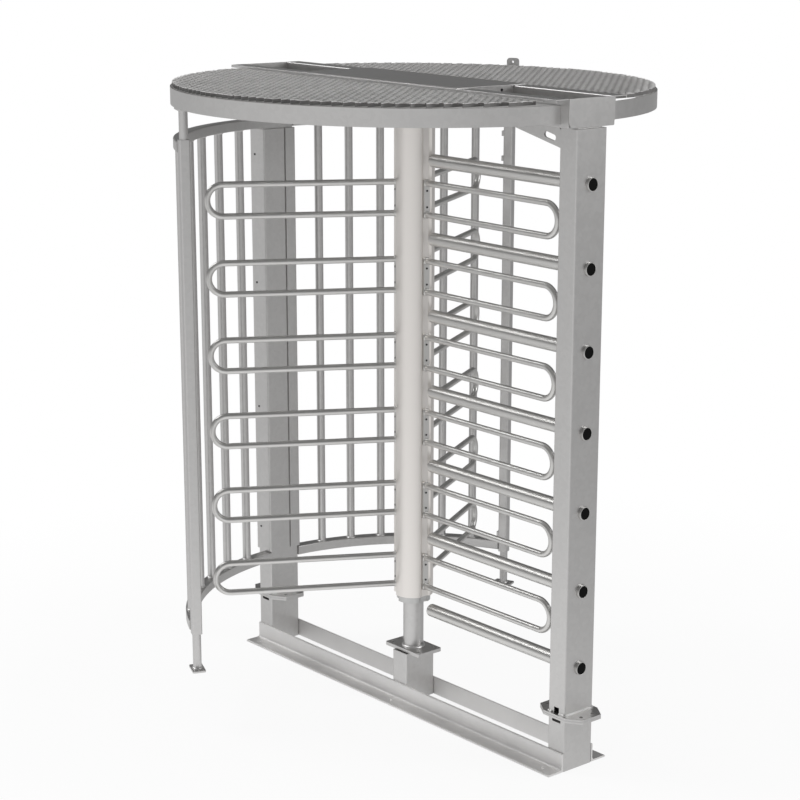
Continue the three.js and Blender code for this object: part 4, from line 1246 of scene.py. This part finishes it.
@dataclass
class Comb:
    """Fixed bars through the comb post, each a tube with a domed inner end and a plug.

    Attributes:
        end_edges: Broken edges of the open end, outside and inside.
        plug_down: How deep the plug sits in the open end.
        plug_lead: Depth and length of the plug's taper.
        plug_crown: Shoulder of the plug's face as a share of its radius, the rise there, and the
            rise in the middle.
    """

    radius: float = 25.5
    wall: float = 3.0
    inner_x: float = 100.0
    outer_x: float = 966.7
    dome: float = 14.0
    dome_steps: int = 8
    end_edges: Pair = (0.8, 0.5)
    plug_down: float = 1.6
    plug_long: float = 30.0
    plug_slack: float = 0.1
    plug_lead: Pair = (1.2, 3.0)
    plug_edge: float = 1.0
    plug_crown: Triple = (0.8, 0.4, 0.6)

    def build(self) -> None:
        """Makes the bars and their plugs."""
        for i, z in enumerate(COMB_LEVELS, 1):
            place(f"comb_tube_{i}", self.along_x(self.bar(), z), STAINLESS_X, f"comb_bar_{i}")
            place(f"comb_plug_{i}", self.along_x(self.plug(), z), BLACK_POLYMER)

    def along_x(self, profile: Plane, z: float) -> Mesh:
        """Turned shape along X at a height, whose profile starts at the bar's inner end.

        Args:
            profile: Corners as (radius, distance from the bar's inner end).
            z: Height of its middle line.

        Returns:
            The turned shape.
        """
        return moved(turned(spun(profile), Axis.X), (self.inner_x, 0, z))

    def bar(self) -> Plane:
        """Profile of a tube whose inner end is a dome.

        Returns:
            Corners as (radius, distance from the bar's inner end).
        """
        length, bore = self.outer_x - self.inner_x, self.radius - self.wall
        outer_edge, inner_edge = self.end_edges
        floor = self.dome + self.wall
        angles = [math.pi / 2 * i / self.dome_steps for i in range(self.dome_steps + 1)]
        arc = [(self.radius * math.sin(a), self.dome * (1 - math.cos(a))) for a in angles]
        return [*arc, (self.radius, length - outer_edge), (self.radius - outer_edge, length),
                (bore + inner_edge, length), (bore, length - inner_edge), (bore, floor),
                (0.0, floor)]

    def plug(self) -> Plane:
        """Profile of a plug just inside the outer end.

        Returns:
            Corners as (radius, distance from the bar's inner end).
        """
        radius = self.radius - self.wall - self.plug_slack
        end = self.outer_x - self.inner_x - self.plug_down
        start, edge, (taper, lead) = end - self.plug_long, self.plug_edge, self.plug_lead
        share, shoulder, peak = self.plug_crown
        return [(0.0, start), (radius - taper, start), (radius, start + lead),
                (radius, end - edge), (radius - edge, end), (radius * share, end + shoulder),
                (0.0, end + peak)]


# Header

@dataclass
class Header:
    """Trough between the posts with its end plates, gussets and lid.

    Attributes:
        end_chamfer: Cut of an end plate's lower corners, along Y and Z.
        gusset: Thickness, length, height, height of the tip, and cope.
        slot: Length and width, then distance from the post and from the top.
        lid_x: Ends of the lid.
        lid_holes: Radius, Y and number of flats of each hole at the comb's end.
    """

    half_length: float = 951.0
    half_width: float = 113.0
    lip_reach: float = 172.5
    bottom: float = 2396.5
    top: float = 2499.0
    sheet: float = 4.0
    lip_drop: float = 10.5
    bend: float = 5.0
    lip_bend: float = 1.2
    end_thick: float = 4.0
    end_chamfer: Pair = (9.0, 24.0)
    shaft_hole: float = 26.0
    gusset_face: float = 73.0
    gusset: tuple[float, ...] = (8.0, 295.0, 75.0, 8.0, 12.0)
    gusset_lap: float = 4.0
    slot: Quad = (60.0, 22.0, 54.0, 37.0)
    lid_x: Pair = (-480.0, 435.0)
    lid_sheet: float = 3.0
    lid_inset: float = 2.0
    lid_fold: float = 1.2
    lid_gap: float = 0.5
    lid_relief: float = 0.2
    lid_holes: tuple[tuple[float, float, int], ...] = ((6.0, 50.0, 24), (2.5, -78.0, 16))
    lid_hole_drop: float = 15.0

    def build(self) -> None:
        """Makes the trough, the gussets and the lid."""
        place("header_sheet", self.trough(), GALVANISED, "header_trough")
        for sign, label in ((-1, "cage"), (1, "comb")):
            place(f"header_end_{label}", self.end_plate(sign), GALVANISED)
        for side in Side:
            place_half("gusset_plate_{}", self.gusset_plate(), side, GALVANISED, "gusset_{}")
        place("mechanism_lid_sheet", self.lid(), GALVANISED, "mechanism_lid")

    def trough(self) -> Mesh:
        """Folded hat section with the hole for the rotor shaft.

        Returns:
            The trough's mesh.
        """
        wall, lip, sheet, lip_low = (self.half_width, self.lip_reach, self.sheet,
                                     self.top - self.lip_drop)
        right = [(wall, self.bottom), (wall, self.top - sheet), (lip - sheet, self.top - sheet),
                 (lip - sheet, lip_low), (lip, lip_low), (lip, self.top),
                 (wall - sheet, self.top), (wall - sheet, self.bottom + sheet)]
        outline = [*right, *((-y, z) for y, z in reversed(right))]
        rounds = {self.bend: (0, 6, 9, 15), self.bend - sheet: (1, 7, 8, 14),
                  self.lip_bend: (5, 10)}
        folded = draw_out(outline, -self.half_length, self.half_length, Axis.X, rounds, 4)
        return cut(folded, cylinder(self.shaft_hole, self.bottom - 2 * PAST,
                                    self.bottom + sheet + 2 * PAST, TUBE_STEPS))

    def end_plate(self, sign: int) -> Mesh:
        """Plate that closes the trough, with its lower corners cut off.

        Args:
            sign: Minus one at the cage's end and one at the comb's.

        Returns:
            The plate's mesh.
        """
        y, low, high = self.half_width - BITE, self.bottom + BITE, self.top - BITE
        cut_y, cut_z = y - self.end_chamfer[0], low + self.end_chamfer[1]
        outline = [(cut_y, low), (y, cut_z), (y, high), (-y, high), (-y, cut_z), (-cut_y, low)]
        faces = sorted((sign * self.half_length, sign * (self.half_length + self.end_thick)))
        return soften(draw_out(outline, *faces, Axis.X), 0.7, least=30.0)

    def gusset_plate(self) -> Mesh:
        """Tapered gusset with a slot, coped at the corner of post and trough.

        Returns:
            The gusset's mesh, drawn for the front half.
        """
        thick, length, height, tip, cope = self.gusset
        right, top = POST_INNER_X + self.gusset_lap, self.bottom - FIT_GAP
        left = right - length
        outline = [(left, top), (left, top - tip), (right, top - height), (right, top - cope),
                   (right - cope, top)]
        face = -self.gusset_face
        flat = soften(draw_out(outline, face, face + thick, Axis.Y), 0.8, least=30.0)
        run, width, back, down = self.slot
        slope = math.atan2(height - tip, length)
        slot = block((-run / 2, -4 * PAST, -width / 2), (run / 2, 4 * PAST, width / 2))
        round_edges(slot, edges_along(slot, Axis.Y), width / 2 - 0.01, 8)
        bmesh.ops.rotate(slot, matrix=Matrix.Rotation(slope, 3, "Y"), verts=slot.verts)
        return cut(flat, moved(slot, (right - back, face, top - down)))

    def lid(self) -> Mesh:
        """Lid over the lock with a wall folded down at each end.

        Returns:
            The lid's mesh.
        """
        y, under, sheet = self.lip_reach - self.lid_inset, self.top + FIT_GAP, self.lid_sheet
        low, over = self.bottom + self.sheet + self.lid_gap, under + sheet
        cage_x, comb_x = self.lid_x
        outline = [(cage_x, low), (cage_x, over), (comb_x, over), (comb_x, low),
                   (comb_x - sheet, low), (comb_x - sheet, under),
                   (cage_x + sheet, under), (cage_x + sheet, low)]
        folded = soften(draw_out(outline, -y, y, Axis.Y, {self.lid_fold: (1, 2)}, 3), 0.5)
        inner, tools = self.half_width - self.sheet - self.lid_gap, []
        for x, sign in product(self.lid_x, (-1, 1)):
            near, far = sorted((sign * inner, sign * (y + 4 * PAST)))
            tools.append(block((x - 3 * PAST, near, self.bottom - PAST),
                               (x + 3 * PAST, far, under - self.lid_relief)))
        for radius, hole_y, steps in self.lid_holes:
            tools.append(cylinder(radius, comb_x - 2 * PAST, comb_x + 2 * PAST, steps, Axis.X,
                                  (0, hole_y, self.top - self.lid_hole_drop)))
        return cut(folded, *tools)


# Roof

@dataclass
class Roof:
    """Rims, ribs, gratings and the fence tab of the round roof.

    Attributes:
        rim_levels: Lower and upper edge of the rim.
        rib_x: Outer ribs from the middle.
        grating_levels: Underside and top of the grating.
        row_height: Height of the upper part of the bars, where the two rows cross and the painted
            highlight is.
        bar_pitch: Distance between the bars along Y.
        row_pitch: Distance between the bars along X.
        tab: Width and thickness of the fence tab.
        tab_levels: Underside and top of the fence tab.
        tab_hole: Radius, and distance from the top.
    """

    radius: float = 919.7
    sheet: float = 6.0
    rim_steps: int = 240
    rim_edge: float = 2.7
    rim_levels: Pair = (2409.3, 2473.8)
    chord: float = 113.3
    rib_x: float = 348.2
    rib_height: float = 50.0
    grating_radius: float = 912.0
    grating_chord: float = 181.0
    grating_levels: Pair = (2475.8, 2491.4)
    row_height: float = 2.4
    row_inset: float = 0.2
    bar_pitch: float = 34.3
    row_pitch: float = 38.1
    bar_thick: float = 2.5
    tab_azimuth: float = math.radians(113.2)
    tab: Pair = (54.0, 8.0)
    tab_levels: Pair = (2425.6, 2519.6)
    tab_hole: Pair = (5.5, 16.0)

    def build(self) -> None:
        """Makes both halves of the roof."""
        for side in Side:
            extra = [] if side is Side.FRONT else [self.fence_tab()]
            place(f"rim_{side.label}_sheet", gathered(reflected(self.rim(), side), *extra),
                  GALVANISED, f"roof_rim_{side.label}")
            # Bar tops carry a painted highlight and the bar feet a painted shade.
            place_half("grating_{}_bars", self.bars(False), side, GRATING_PAINTED_LIGHT,
                       "roof_grating_{}")
            place_half("grating_{}_bar_feet", self.bars(True), side, GRATING_PAINTED_SHADE)

    def rim(self) -> Mesh:
        """Rolled rim, its chord and three ribs.

        Returns:
            The rim's mesh, drawn for the front half.
        """
        low, high = self.rim_levels
        mesh = bmesh.new()
        bmesh.ops.create_circle(mesh, cap_ends=True, segments=self.rim_steps, radius=self.radius)
        moved(bisected(mesh, self.chord), (0, 0, low))
        mesh.normal_update()
        bmesh.ops.inset_individual(mesh, faces=mesh.faces[:], thickness=self.sheet,
                                   use_even_offset=True)
        inside = max(mesh.faces, key=lambda f: f.calc_area())
        bmesh.ops.delete(mesh, geom=[inside], context="FACES_ONLY")
        extrude(mesh, mesh.faces[:], (0, 0, high - low))
        soften(outward(mesh), self.rim_edge, 3)
        inner, rib_top, ribs = self.radius - self.sheet, self.grating_levels[0] - FIT_GAP, []
        for x in (-self.rib_x, 0.0, self.rib_x):
            reach = math.sqrt(inner ** 2 - x ** 2) + self.sheet / 3
            rib = block((x - self.sheet / 2, -reach, rib_top - self.rib_height),
                        (x + self.sheet / 2, -self.chord - self.sheet * 0.7, rib_top))
            ribs.append(soften(rib, 0.6))
        return gathered(mesh, *ribs)

    def chord_reach(self, offset: float) -> float:
        """How far the grating's round edge lies from the middle of a chord at an offset."""
        return math.sqrt(max(self.grating_radius ** 2 - offset ** 2, 0.0))

    def bars(self, lower: bool) -> Mesh:
        """Crossing flat bars on edge, ended on the round edge.

        Args:
            lower: True for the lower part of the bars, painted darker and duller as a painted shade
                for the shade between the bars. False for the upper part, which has a painted
                highlight.

        Returns:
            The bars of one half.
        """
        low, high = self.grating_levels
        near, half, made = self.grating_chord, self.bar_thick / 2, []
        split = high - self.row_height
        foot, head = (low, split) if lower else (split, high)
        columns = int(self.grating_radius / self.bar_pitch)
        for x in (i * self.bar_pitch for i in range(-columns, columns + 1)):
            end = self.chord_reach(abs(x) + half)
            if end > near + self.bar_pitch:
                made.append(block((x - half, -end, foot), (x + half, -near, head)))
        rows = 0 if lower else int((self.grating_radius - near) / self.row_pitch) + 1
        for y in (near + half + i * self.row_pitch for i in range(rows)):
            reach = self.chord_reach(y + half)
            if reach > self.bar_pitch:
                made.append(block((-reach, -y - half, foot + self.row_inset),
                                  (reach, -y + half, head - self.row_inset)))
        return gathered(*made)

    def fence_tab(self) -> Mesh:
        """Lug with a hole that stands up outside the rear rim.

        Returns:
            The lug's mesh, at its place on the rear rim.
        """
        half, thick = self.tab[0] / 2, self.tab[1]
        low, high = self.tab_levels
        flat = draw_out([(-half, low), (half, low), (half, high), (-half, high)],
                        0.0, thick, Axis.Y, {half / 2: (2, 3)}, 5)
        radius, drop = self.tab_hole
        hole = cylinder(radius, -2 * PAST, thick + 2 * PAST, HOLE_STEPS, Axis.Y,
                        (0, 0, high - drop))
        lug = cut(soften(flat, 0.6), hole)
        out = self.radius + thick - 2 * BITE
        return moved(lug, (0, -out, 0), self.tab_azimuth + math.pi / 2)


# Cage

@dataclass
class Cage:
    """Rings, bars, pillars with their round cores, and the angles that wrap the cage post.

    Attributes:
        ring: Width and height of the rolled tube.
        ring_lows: Undersides of both rings.
        ring_past: How far a ring is spun past the post's face before it is cut there.
        bar_first: Azimuth of the first bar from the comb post, in degrees.
        bar_step: Azimuth from bar to bar, in degrees.
        pillar: Side, wall and corner radius.
        tab: Width and height of a stop tab, and its middle from the pillar's face.
        core: Radius and wall.
        core_plate: Length, width, thickness and corner radius.
        core_hole: Radius, and distance from the middle.
        core_levels: Underside of the foot plate and top of the head plate.
        wrap_reach: Depth of the inner flange of the front and the rear angle.
        wrap_screw: Radius, rise and X of the screw heads.
    """

    ring_radius: float = 889.6
    ring: Pair = (48.0, 40.0)
    ring_corner: float = 5.0
    ring_lows: Pair = (374.0, 2243.0)
    ring_steps: int = 72
    ring_past: float = 12.0
    bar_radius: float = 17.0
    bar_first: float = 122.8
    bar_step: float = 8.8
    bar_count: int = 6
    bar_weld: float = 4.0
    pillar_azimuth: float = math.radians(113.0)
    pillar: Triple = (40.0, 2.8, 6.0)
    pillar_past: float = 9.0
    tab: Triple = (12.0, 22.0, 5.5)
    tab_levels: Triple = (442.0, 2103.0, 2208.0)
    core: Pair = (16.8, 3.0)
    core_steps: int = 40
    core_weld_leg: float = 5.0
    core_plate: Quad = (86.0, 52.0, 8.0, 7.0)
    core_hole: Pair = (5.0, 32.0)
    core_levels: Pair = (214.0, 2409.0)
    post_outer: float = 955.7
    wrap_thick: float = 7.5
    wrap_reach: Pair = (103.0, 51.6)
    wrap_gap: float = 5.0
    wrap_screw: Triple = (4.5, 1.6, -926.8)
    screw_levels: Quad = (521.9, 1057.1, 1593.4, 2131.0)

    def build(self) -> None:
        """Makes both halves of the cage."""
        for side in Side:
            place_half("cage_rings_{}", self.rings(), side, GALVANISED, "cage_grille_{}")
            place_half("cage_bars_{}", self.bars(), side, GALVANISED)
            # The bar welds' whiter zinc is a painted highlight.
            place_half("cage_bar_welds_{}", self.bar_welds(), side, WELD_ZINC_PAINTED_HIGHLIGHT)
            place_half("pillar_tube_{}", self.pillar_tube(), side, GALVANISED, "cage_pillar_{}")
            place_half("pillar_core_tube_{}", self.pillar_core(), side, GALVANISED,
                       "pillar_core_{}")
            # The core weld's whiter zinc is a painted highlight.
            place_half("pillar_core_weld_{}", self.core_weld(), side, WELD_ZINC_PAINTED_HIGHLIGHT)
            place_half("wrap_angle_{}", self.wrap_angle(side), side, GALVANISED, "cage_angle_{}")
            place_half("wrap_screws_{}", self.wrap_screws(), side, BLACKENED)

    @property
    def between(self) -> Pair:
        """Heights of the lower ring's top and the upper ring's underside."""
        return self.ring_lows[0] + self.ring[1], self.ring_lows[1]

    def at_pillar(self, mesh: Mesh) -> Mesh:
        """Moves a shape drawn about Z to the front pillar, square to the ring.

        Args:
            mesh: Shape that is changed and returned.

        Returns:
            The same shape.
        """
        return moved(moved(mesh, azimuth=math.pi / 2), (self.ring_radius, 0, 0),
                     -self.pillar_azimuth)

    def rings(self) -> Mesh:
        """The two rolled tubes from the pillar to the cage post.

        Returns:
            The rings' mesh, drawn for the front half.
        """
        width, height = self.ring
        start = -self.pillar_azimuth - (self.pillar[0] / 2 + FIT_GAP) / self.ring_radius
        stop = -math.pi + math.asin((POST_FACE - self.ring_past) / self.ring_radius)
        inner, outer = self.ring_radius - width / 2, self.ring_radius + width / 2
        made = []
        for low in self.ring_lows:
            high = low + height
            mesh = bmesh.new()
            corners = [mesh.verts.new((r, 0.0, z)) for r, z in
                       ((inner, low), (outer, low), (outer, high), (inner, high))]
            mesh.faces.new(corners)
            round_corners(mesh, corners, self.ring_corner, 4)
            moved(mesh, azimuth=start)
            spin(mesh, mesh.faces[:], stop - start, self.ring_steps)
            made.append(sealed(bisected(outward(mesh), POST_FACE)))
        return gathered(*made)

    def bar_places(self) -> list[Pair]:
        """Where the upright bars stand.

        Returns:
            X and Y of each bar of the front half.
        """
        angles = [-math.radians(self.bar_first + i * self.bar_step)
                  for i in range(self.bar_count)]
        return [(self.ring_radius * math.cos(a), self.ring_radius * math.sin(a)) for a in angles]

    def bars(self) -> Mesh:
        """Upright round bars between the rings.

        Returns:
            The bars' mesh, drawn for the front half.
        """
        low, high = self.between
        return gathered(*(cylinder(self.bar_radius, low - 2 * BITE, high + 2 * BITE,
                                 centre=(x, y, 0))
                          for x, y in self.bar_places()))

    def bar_welds(self) -> Mesh:
        """Beads at the foot and the head of each bar.

        Returns:
            The beads' mesh, drawn for the front half.
        """
        low, high = self.between
        made = []
        for x, y in self.bar_places():
            made.append(moved(weld_ring(self.bar_radius, self.bar_weld, low), (x, y, 0)))
            head = mirrored(weld_ring(self.bar_radius, self.bar_weld, 0.0), (1, 1, -1))
            made.append(moved(head, (x, y, high)))
        return gathered(*made)

    def pillar_tube(self) -> Mesh:
        """Square tube at the open end of the cage, with its small stop tabs.

        Returns:
            The pillar's mesh, drawn for the front half.
        """
        side, wall, corner = self.pillar
        low = self.ring_lows[0] - self.pillar_past
        high = self.ring_lows[1] + self.ring[1] + self.pillar_past
        width, height, out = self.tab
        tabs = [plate(width, height, z - height / 2, z + height / 2, 0, -side / 2 - out, 0.6)
                for z in self.tab_levels]
        tube = square_tube((side, side, wall, corner), low, high)
        return self.at_pillar(gathered(tube, *tabs))

    def core_end(self, low: float) -> Mesh:
        """End plate of the core, with two holes.

        Args:
            low: Height of its underside.

        Returns:
            The plate's mesh.
        """
        length, width, thick, corner = self.core_plate
        radius, out = self.core_hole
        holes = drills(radius, ((-out, 0.0), (out, 0.0)), low, low + thick)
        return cut(plate(length, width, low, low + thick, corner), *holes)

    def pillar_core(self) -> Mesh:
        """Round tube through the pillar from the floor plate to the rim.

        Returns:
            The core's mesh, drawn for the front half.
        """
        radius, wall = self.core
        low, high = self.core_levels
        thick = self.core_plate[2]
        tube = hollow(cylinder(radius, low + thick - BITE, high - thick + BITE, self.core_steps),
                      wall)
        return self.at_pillar(gathered(self.core_end(low), self.core_end(high - thick), tube))

    def core_weld(self) -> Mesh:
        """Bead round the foot of the core."""
        low = self.core_levels[0] + self.core_plate[2]
        return self.at_pillar(weld_ring(self.core[0], self.core_weld_leg, low, self.core_steps))

    def wrap_angle(self, side: Side) -> Mesh:
        """Bent plate round one edge of the cage post.

        Args:
            side: Half that it is for, as the rear one is narrower.

        Returns:
            The plate's mesh, drawn for the front half.
        """
        inner, face, outer = -POST_INNER_X + FIT_GAP, -POST_FACE, -self.post_outer
        front = face - self.wrap_thick
        reach = self.wrap_reach[0 if side is Side.FRONT else 1]
        far, back = inner + self.wrap_thick, front + reach
        outline = [(outer, face), (outer, front), (far, front), (far, back), (inner, back),
                   (inner, face)]
        low, high = self.between
        return soften(draw_out(outline, low + self.wrap_gap, high - self.wrap_gap, Axis.Z,
                               {self.wrap_thick: (2,)}, 6))

    def wrap_screws(self) -> Mesh:
        """Low round screw heads down the outer flange.

        Returns:
            The screws' mesh, drawn for the front half.
        """
        radius, rise, x = self.wrap_screw
        face = -POST_FACE - self.wrap_thick
        return gathered(*(cylinder(radius, face - rise, face + BITE, 20, Axis.Y, (x, 0, z))
                          for z in self.screw_levels))


# Rotor

@dataclass
class Rotor:
    """Foot with its bearing, the three-lobed column, the collar and the eighteen hoops.

    Attributes:
        plate: Length, width, thickness and corner radius.
        plate_hole: Radius, then X and Y from the middle.
        tube: Radius and wall.
        spigot: Radius, height and taper.
        washer: Bore, outer radius, underside and top.
        column: Radius of the lobes, distance of the valleys' floors, and bore.
        column_levels: Underside and top of the column.
        collar: Radius of the lobes, distance of the valleys' floors, and bore.
        shoulder: Azimuth of a lobe's edge from the middle of the valley.
        hoop_half: Half the distance between a hoop's two runs.
        hoop_reach: Outer edge of a hoop from the axis.
        hoop_plate: Thickness, width and height.
        screw: Radius and rise of the head.
        socket: Radius, and height of its floor above the plate.
    """

    plate: Quad = (208.0, 124.0, 15.0, 8.0)
    plate_hole: Triple = (7.0, 82.0, 44.0)
    tube: Pair = (41.0, 6.0)
    tube_top: float = 410.0
    tube_edge: float = 1.5
    bore_drop: float = 10.0
    spigot: Triple = (20.0, 48.0, 3.0)
    weld_leg: float = 7.0
    washer: Quad = (20.5, 36.0, 410.3, 417.9)
    column: Triple = (79.0, 67.5, 62.0)
    column_levels: Pair = (445.0, 2388.0)
    collar: Triple = (68.0, 60.0, 20.5)
    collar_height: float = 26.5
    lobe_steps: int = 144
    bore_steps: int = 96
    floor_half: float = 14.8
    floor_round: float = 3.0
    shoulder: float = math.radians(18.0)
    wings: int = 3
    levels: int = 6
    hoop_first: float = 548.5
    hoop_pitch: float = 300.0
    hoop_half: float = 60.5
    hoop_tube: float = 12.0
    hoop_steps: int = 20
    bend_steps: int = 24
    hoop_reach: float = 806.0
    hoop_plate: Triple = (7.5, 28.0, 146.0)
    hoop_plate_round: float = 3.0
    hoop_weld: float = 3.5
    screw_out: float = 31.5
    screw: Pair = (4.0, 1.8)
    socket: Pair = (2.2, 0.2)

    def build(self) -> None:
        """Makes the foot and everything that turns."""
        place("rotor_foot_plate", self.foot_plate(), GALVANISED, "rotor_foot")
        place("rotor_foot_tube", self.foot_tube(), GALVANISED)
        # The foot weld's whiter zinc is a painted highlight.
        place("rotor_foot_weld", weld_ring(self.tube[0], self.weld_leg,
                                           STUB_TOP + self.plate[2], LARGE_STEPS), WELD_ZINC_PAINTED_HIGHLIGHT)
        bore, out, low, high = self.washer
        washer = spun([(bore, low), (out, low), (out, high), (bore, high)], LARGE_STEPS)
        place("thrust_washer", washer, BRONZE, "thrust_bearing")
        column_low, column_high = self.column_levels
        place("column_extrusion", self.lobed(*self.column, column_low, column_high), ANODISED,
              "rotor_column", "rotor")
        top = column_low - FIT_GAP
        place("collar_casting", self.lobed(*self.collar, top - self.collar_height, top),
              COLLAR_ZINC, "rotor_collar", "rotor")
        for wing, level in product(range(self.wings), range(self.levels)):
            azimuth, z = FULL_TURN * wing / self.wings, self.hoop_first + level * self.hoop_pitch
            label = f"wing{wing + 1}_level{level + 1}"
            place(f"hoop_tube_{label}", moved(self.hoop(), (0, 0, z), azimuth), STAINLESS_HOOP,
                  f"hoop_{label}", "rotor")
            place(f"hoop_screws_{label}", moved(self.screws(), (0, 0, z), azimuth), BLACKENED,
                  body="rotor")

    def foot_plate(self) -> Mesh:
        """Plate that bolts the rotor's foot to its stub.

        Returns:
            The plate's mesh.
        """
        length, width, thick, corner = self.plate
        low, high = STUB_TOP, STUB_TOP + thick
        radius, x, y = self.plate_hole
        spots = [(u * x, v * y) for u, v in product((-1, 1), (-1, 1))]
        return cut(plate(length, width, low, high, corner, edge=1.2),
                   *drills(radius, spots, low, high))

    def foot_tube(self) -> Mesh:
        """Thick tube with the spigot on which the column turns.

        Returns:
            The tube's mesh.
        """
        radius, wall = self.tube
        low, top, bore = STUB_TOP + self.plate[2] - BITE, self.tube_top, radius - wall
        spigot, rise, taper = self.spigot
        edge, peak, ceiling = self.tube_edge, top + rise, top - self.bore_drop
        return spun([(bore, low), (radius, low), (radius, top - edge), (radius - edge, top),
                     (spigot, top), (spigot, peak - taper), (spigot - taper, peak), (0.0, peak),
                     (0.0, ceiling), (bore, ceiling)], LARGE_STEPS)

    def lobed(self, radius: float, floor: float, bore: float, low: float, high: float) -> Mesh:
        """Round bar with a flat valley for each wing.

        Args:
            radius: Radius of the lobes.
            floor: Distance of a valley's floor from the axis.
            bore: Radius of the hole through it.
            low: Underside.
            high: Top.

        Returns:
            The shape, open at both ends.
        """
        start, end = low - 2 * PAST, high + 2 * PAST
        edge = Vector((floor, self.floor_half))
        corner = radius * Vector((math.cos(self.shoulder), math.sin(self.shoulder)))
        far = corner + (corner - edge)
        clear = far.x + 4 * PAST
        valley = [(edge.x, -edge.y), (far.x, -far.y), (clear, -far.y), (clear, far.y),
                  (far.x, far.y), (edge.x, edge.y)]
        tools = [moved(draw_out(valley, start, end, rounds={self.floor_round: (0, 5)}),
                       azimuth=FULL_TURN * i / self.wings) for i in range(self.wings)]
        shaped = cut(soften(cylinder(radius, low, high, self.lobe_steps), 1.0), *tools)
        return cut(shaped, cylinder(bore, start, end, self.bore_steps))

    @property
    def plate_faces(self) -> Pair:
        """Distance of a hoop plate's inner and outer face from the axis."""
        inner = self.column[1] + FIT_GAP
        return inner, inner + self.hoop_plate[0]

    def hoop(self) -> Mesh:
        """Bent tube with its plate and their welds, drawn about the column at height zero.

        Returns:
            The hoop's mesh, with its wing along X.
        """
        _, width, height = self.hoop_plate
        inner, outer = self.plate_faces
        start, bend_x = outer - 2 * BITE, self.hoop_reach - self.hoop_tube - self.hoop_half
        tube = bmesh.new()
        bmesh.ops.create_circle(tube, segments=self.hoop_steps, radius=self.hoop_tube)
        moved(turned(tube, Axis.X), (start, 0, -self.hoop_half))
        end = self.drawn(tube, tube.edges[:], bend_x - start)
        made = spin(tube, end, math.pi, self.bend_steps, (bend_x, 0, 0), (0, -1, 0))
        self.drawn(tube, of_kind(made, Edge), start - bend_x)
        flat = block((inner, -width / 2, -height / 2), (outer, width / 2, height / 2))
        round_edges(flat, edges_along(flat, Axis.X), self.hoop_plate_round, 4)
        beads = [moved(turned(weld_ring(self.hoop_tube, self.hoop_weld, 0.0, self.hoop_steps),
                              Axis.X), (outer, 0, z)) for z in (-self.hoop_half, self.hoop_half)]
        return gathered(sealed(tube), soften(flat, 0.6), *beads)

    @staticmethod
    def drawn(tube: Mesh, end: list[Edge], run: float) -> list[Edge]:
        """Draws the end loop of a tube out along X and returns the new end.

        Args:
            tube: Mesh of the tube.
            end: Edges of its open end.
            run: How far it is drawn.

        Returns:
            Edges of the new end.
        """
        made = bmesh.ops.extrude_edge_only(tube, edges=end)["geom"]
        bmesh.ops.translate(tube, vec=(run, 0, 0), verts=of_kind(made, Vert))
        return of_kind(made, Edge)

    def screws(self) -> Mesh:
        """The two socket screws that hold a hoop's plate in its valley.

        Returns:
            The screws' mesh, with the wing along X.
        """
        outer = self.plate_faces[1]
        (radius, rise), (bore, floor) = self.screw, self.socket
        made = []
        for z in (-self.screw_out, self.screw_out):
            head = cylinder(radius, outer - BITE, outer + rise, 20, Axis.X, (0, 0, z))
            made.append(cut(head, cylinder(bore, outer + floor, outer + rise + PAST, 6, Axis.X,
                                           (0, 0, z))))
        return gathered(*made)


@dataclass
class LockSet:
    """Parts of the lock and bearings inside the header, which keep the model's own shapes."""

    machined: tuple[str, ...] = ("top_bearing_housing", "lock_bed", "lock_pawl_entry",
                                 "lock_pawl_exit", "rotor_shaft", "index_disc")
    moulded: tuple[str, ...] = ("lock_solenoid_entry", "lock_solenoid_exit")

    def build(self) -> None:
        """Dresses the nodes of the model that stay in view."""
        for names, finish in ((self.machined, MACHINED), (self.moulded, BLACK_POLYMER)):
            for name in names:
                dress(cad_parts[name], finish)
                log.info("%s: dressed as %s", name, finish.name)


def dress(node: bpy.types.Object, finish: Finish) -> None:
    """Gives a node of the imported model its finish.

    Args:
        node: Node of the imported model.
        finish: Its metal or plastic.
    """
    if not node.material_slots:
        node.data.materials.append(None)
    for holder in node.material_slots:
        holder.material = finish.material()


def main() -> None:
    """Builds the studio and the turnstile."""
    logging.basicConfig(level=logging.INFO, format="%(name)s %(message)s")
    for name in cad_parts:
        dress(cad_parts[name], GALVANISED)
    builders: Sequence[Callable[[], None]] = (
        Studio().build, BaseFrame().build, Posts().build, Comb().build, Header().build,
        Roof().build, Cage().build, Rotor().build, LockSet().build,
    )
    for build in builders:
        build()
    bpy.context.view_layer.update()


if __name__ == "__main__":
    main()
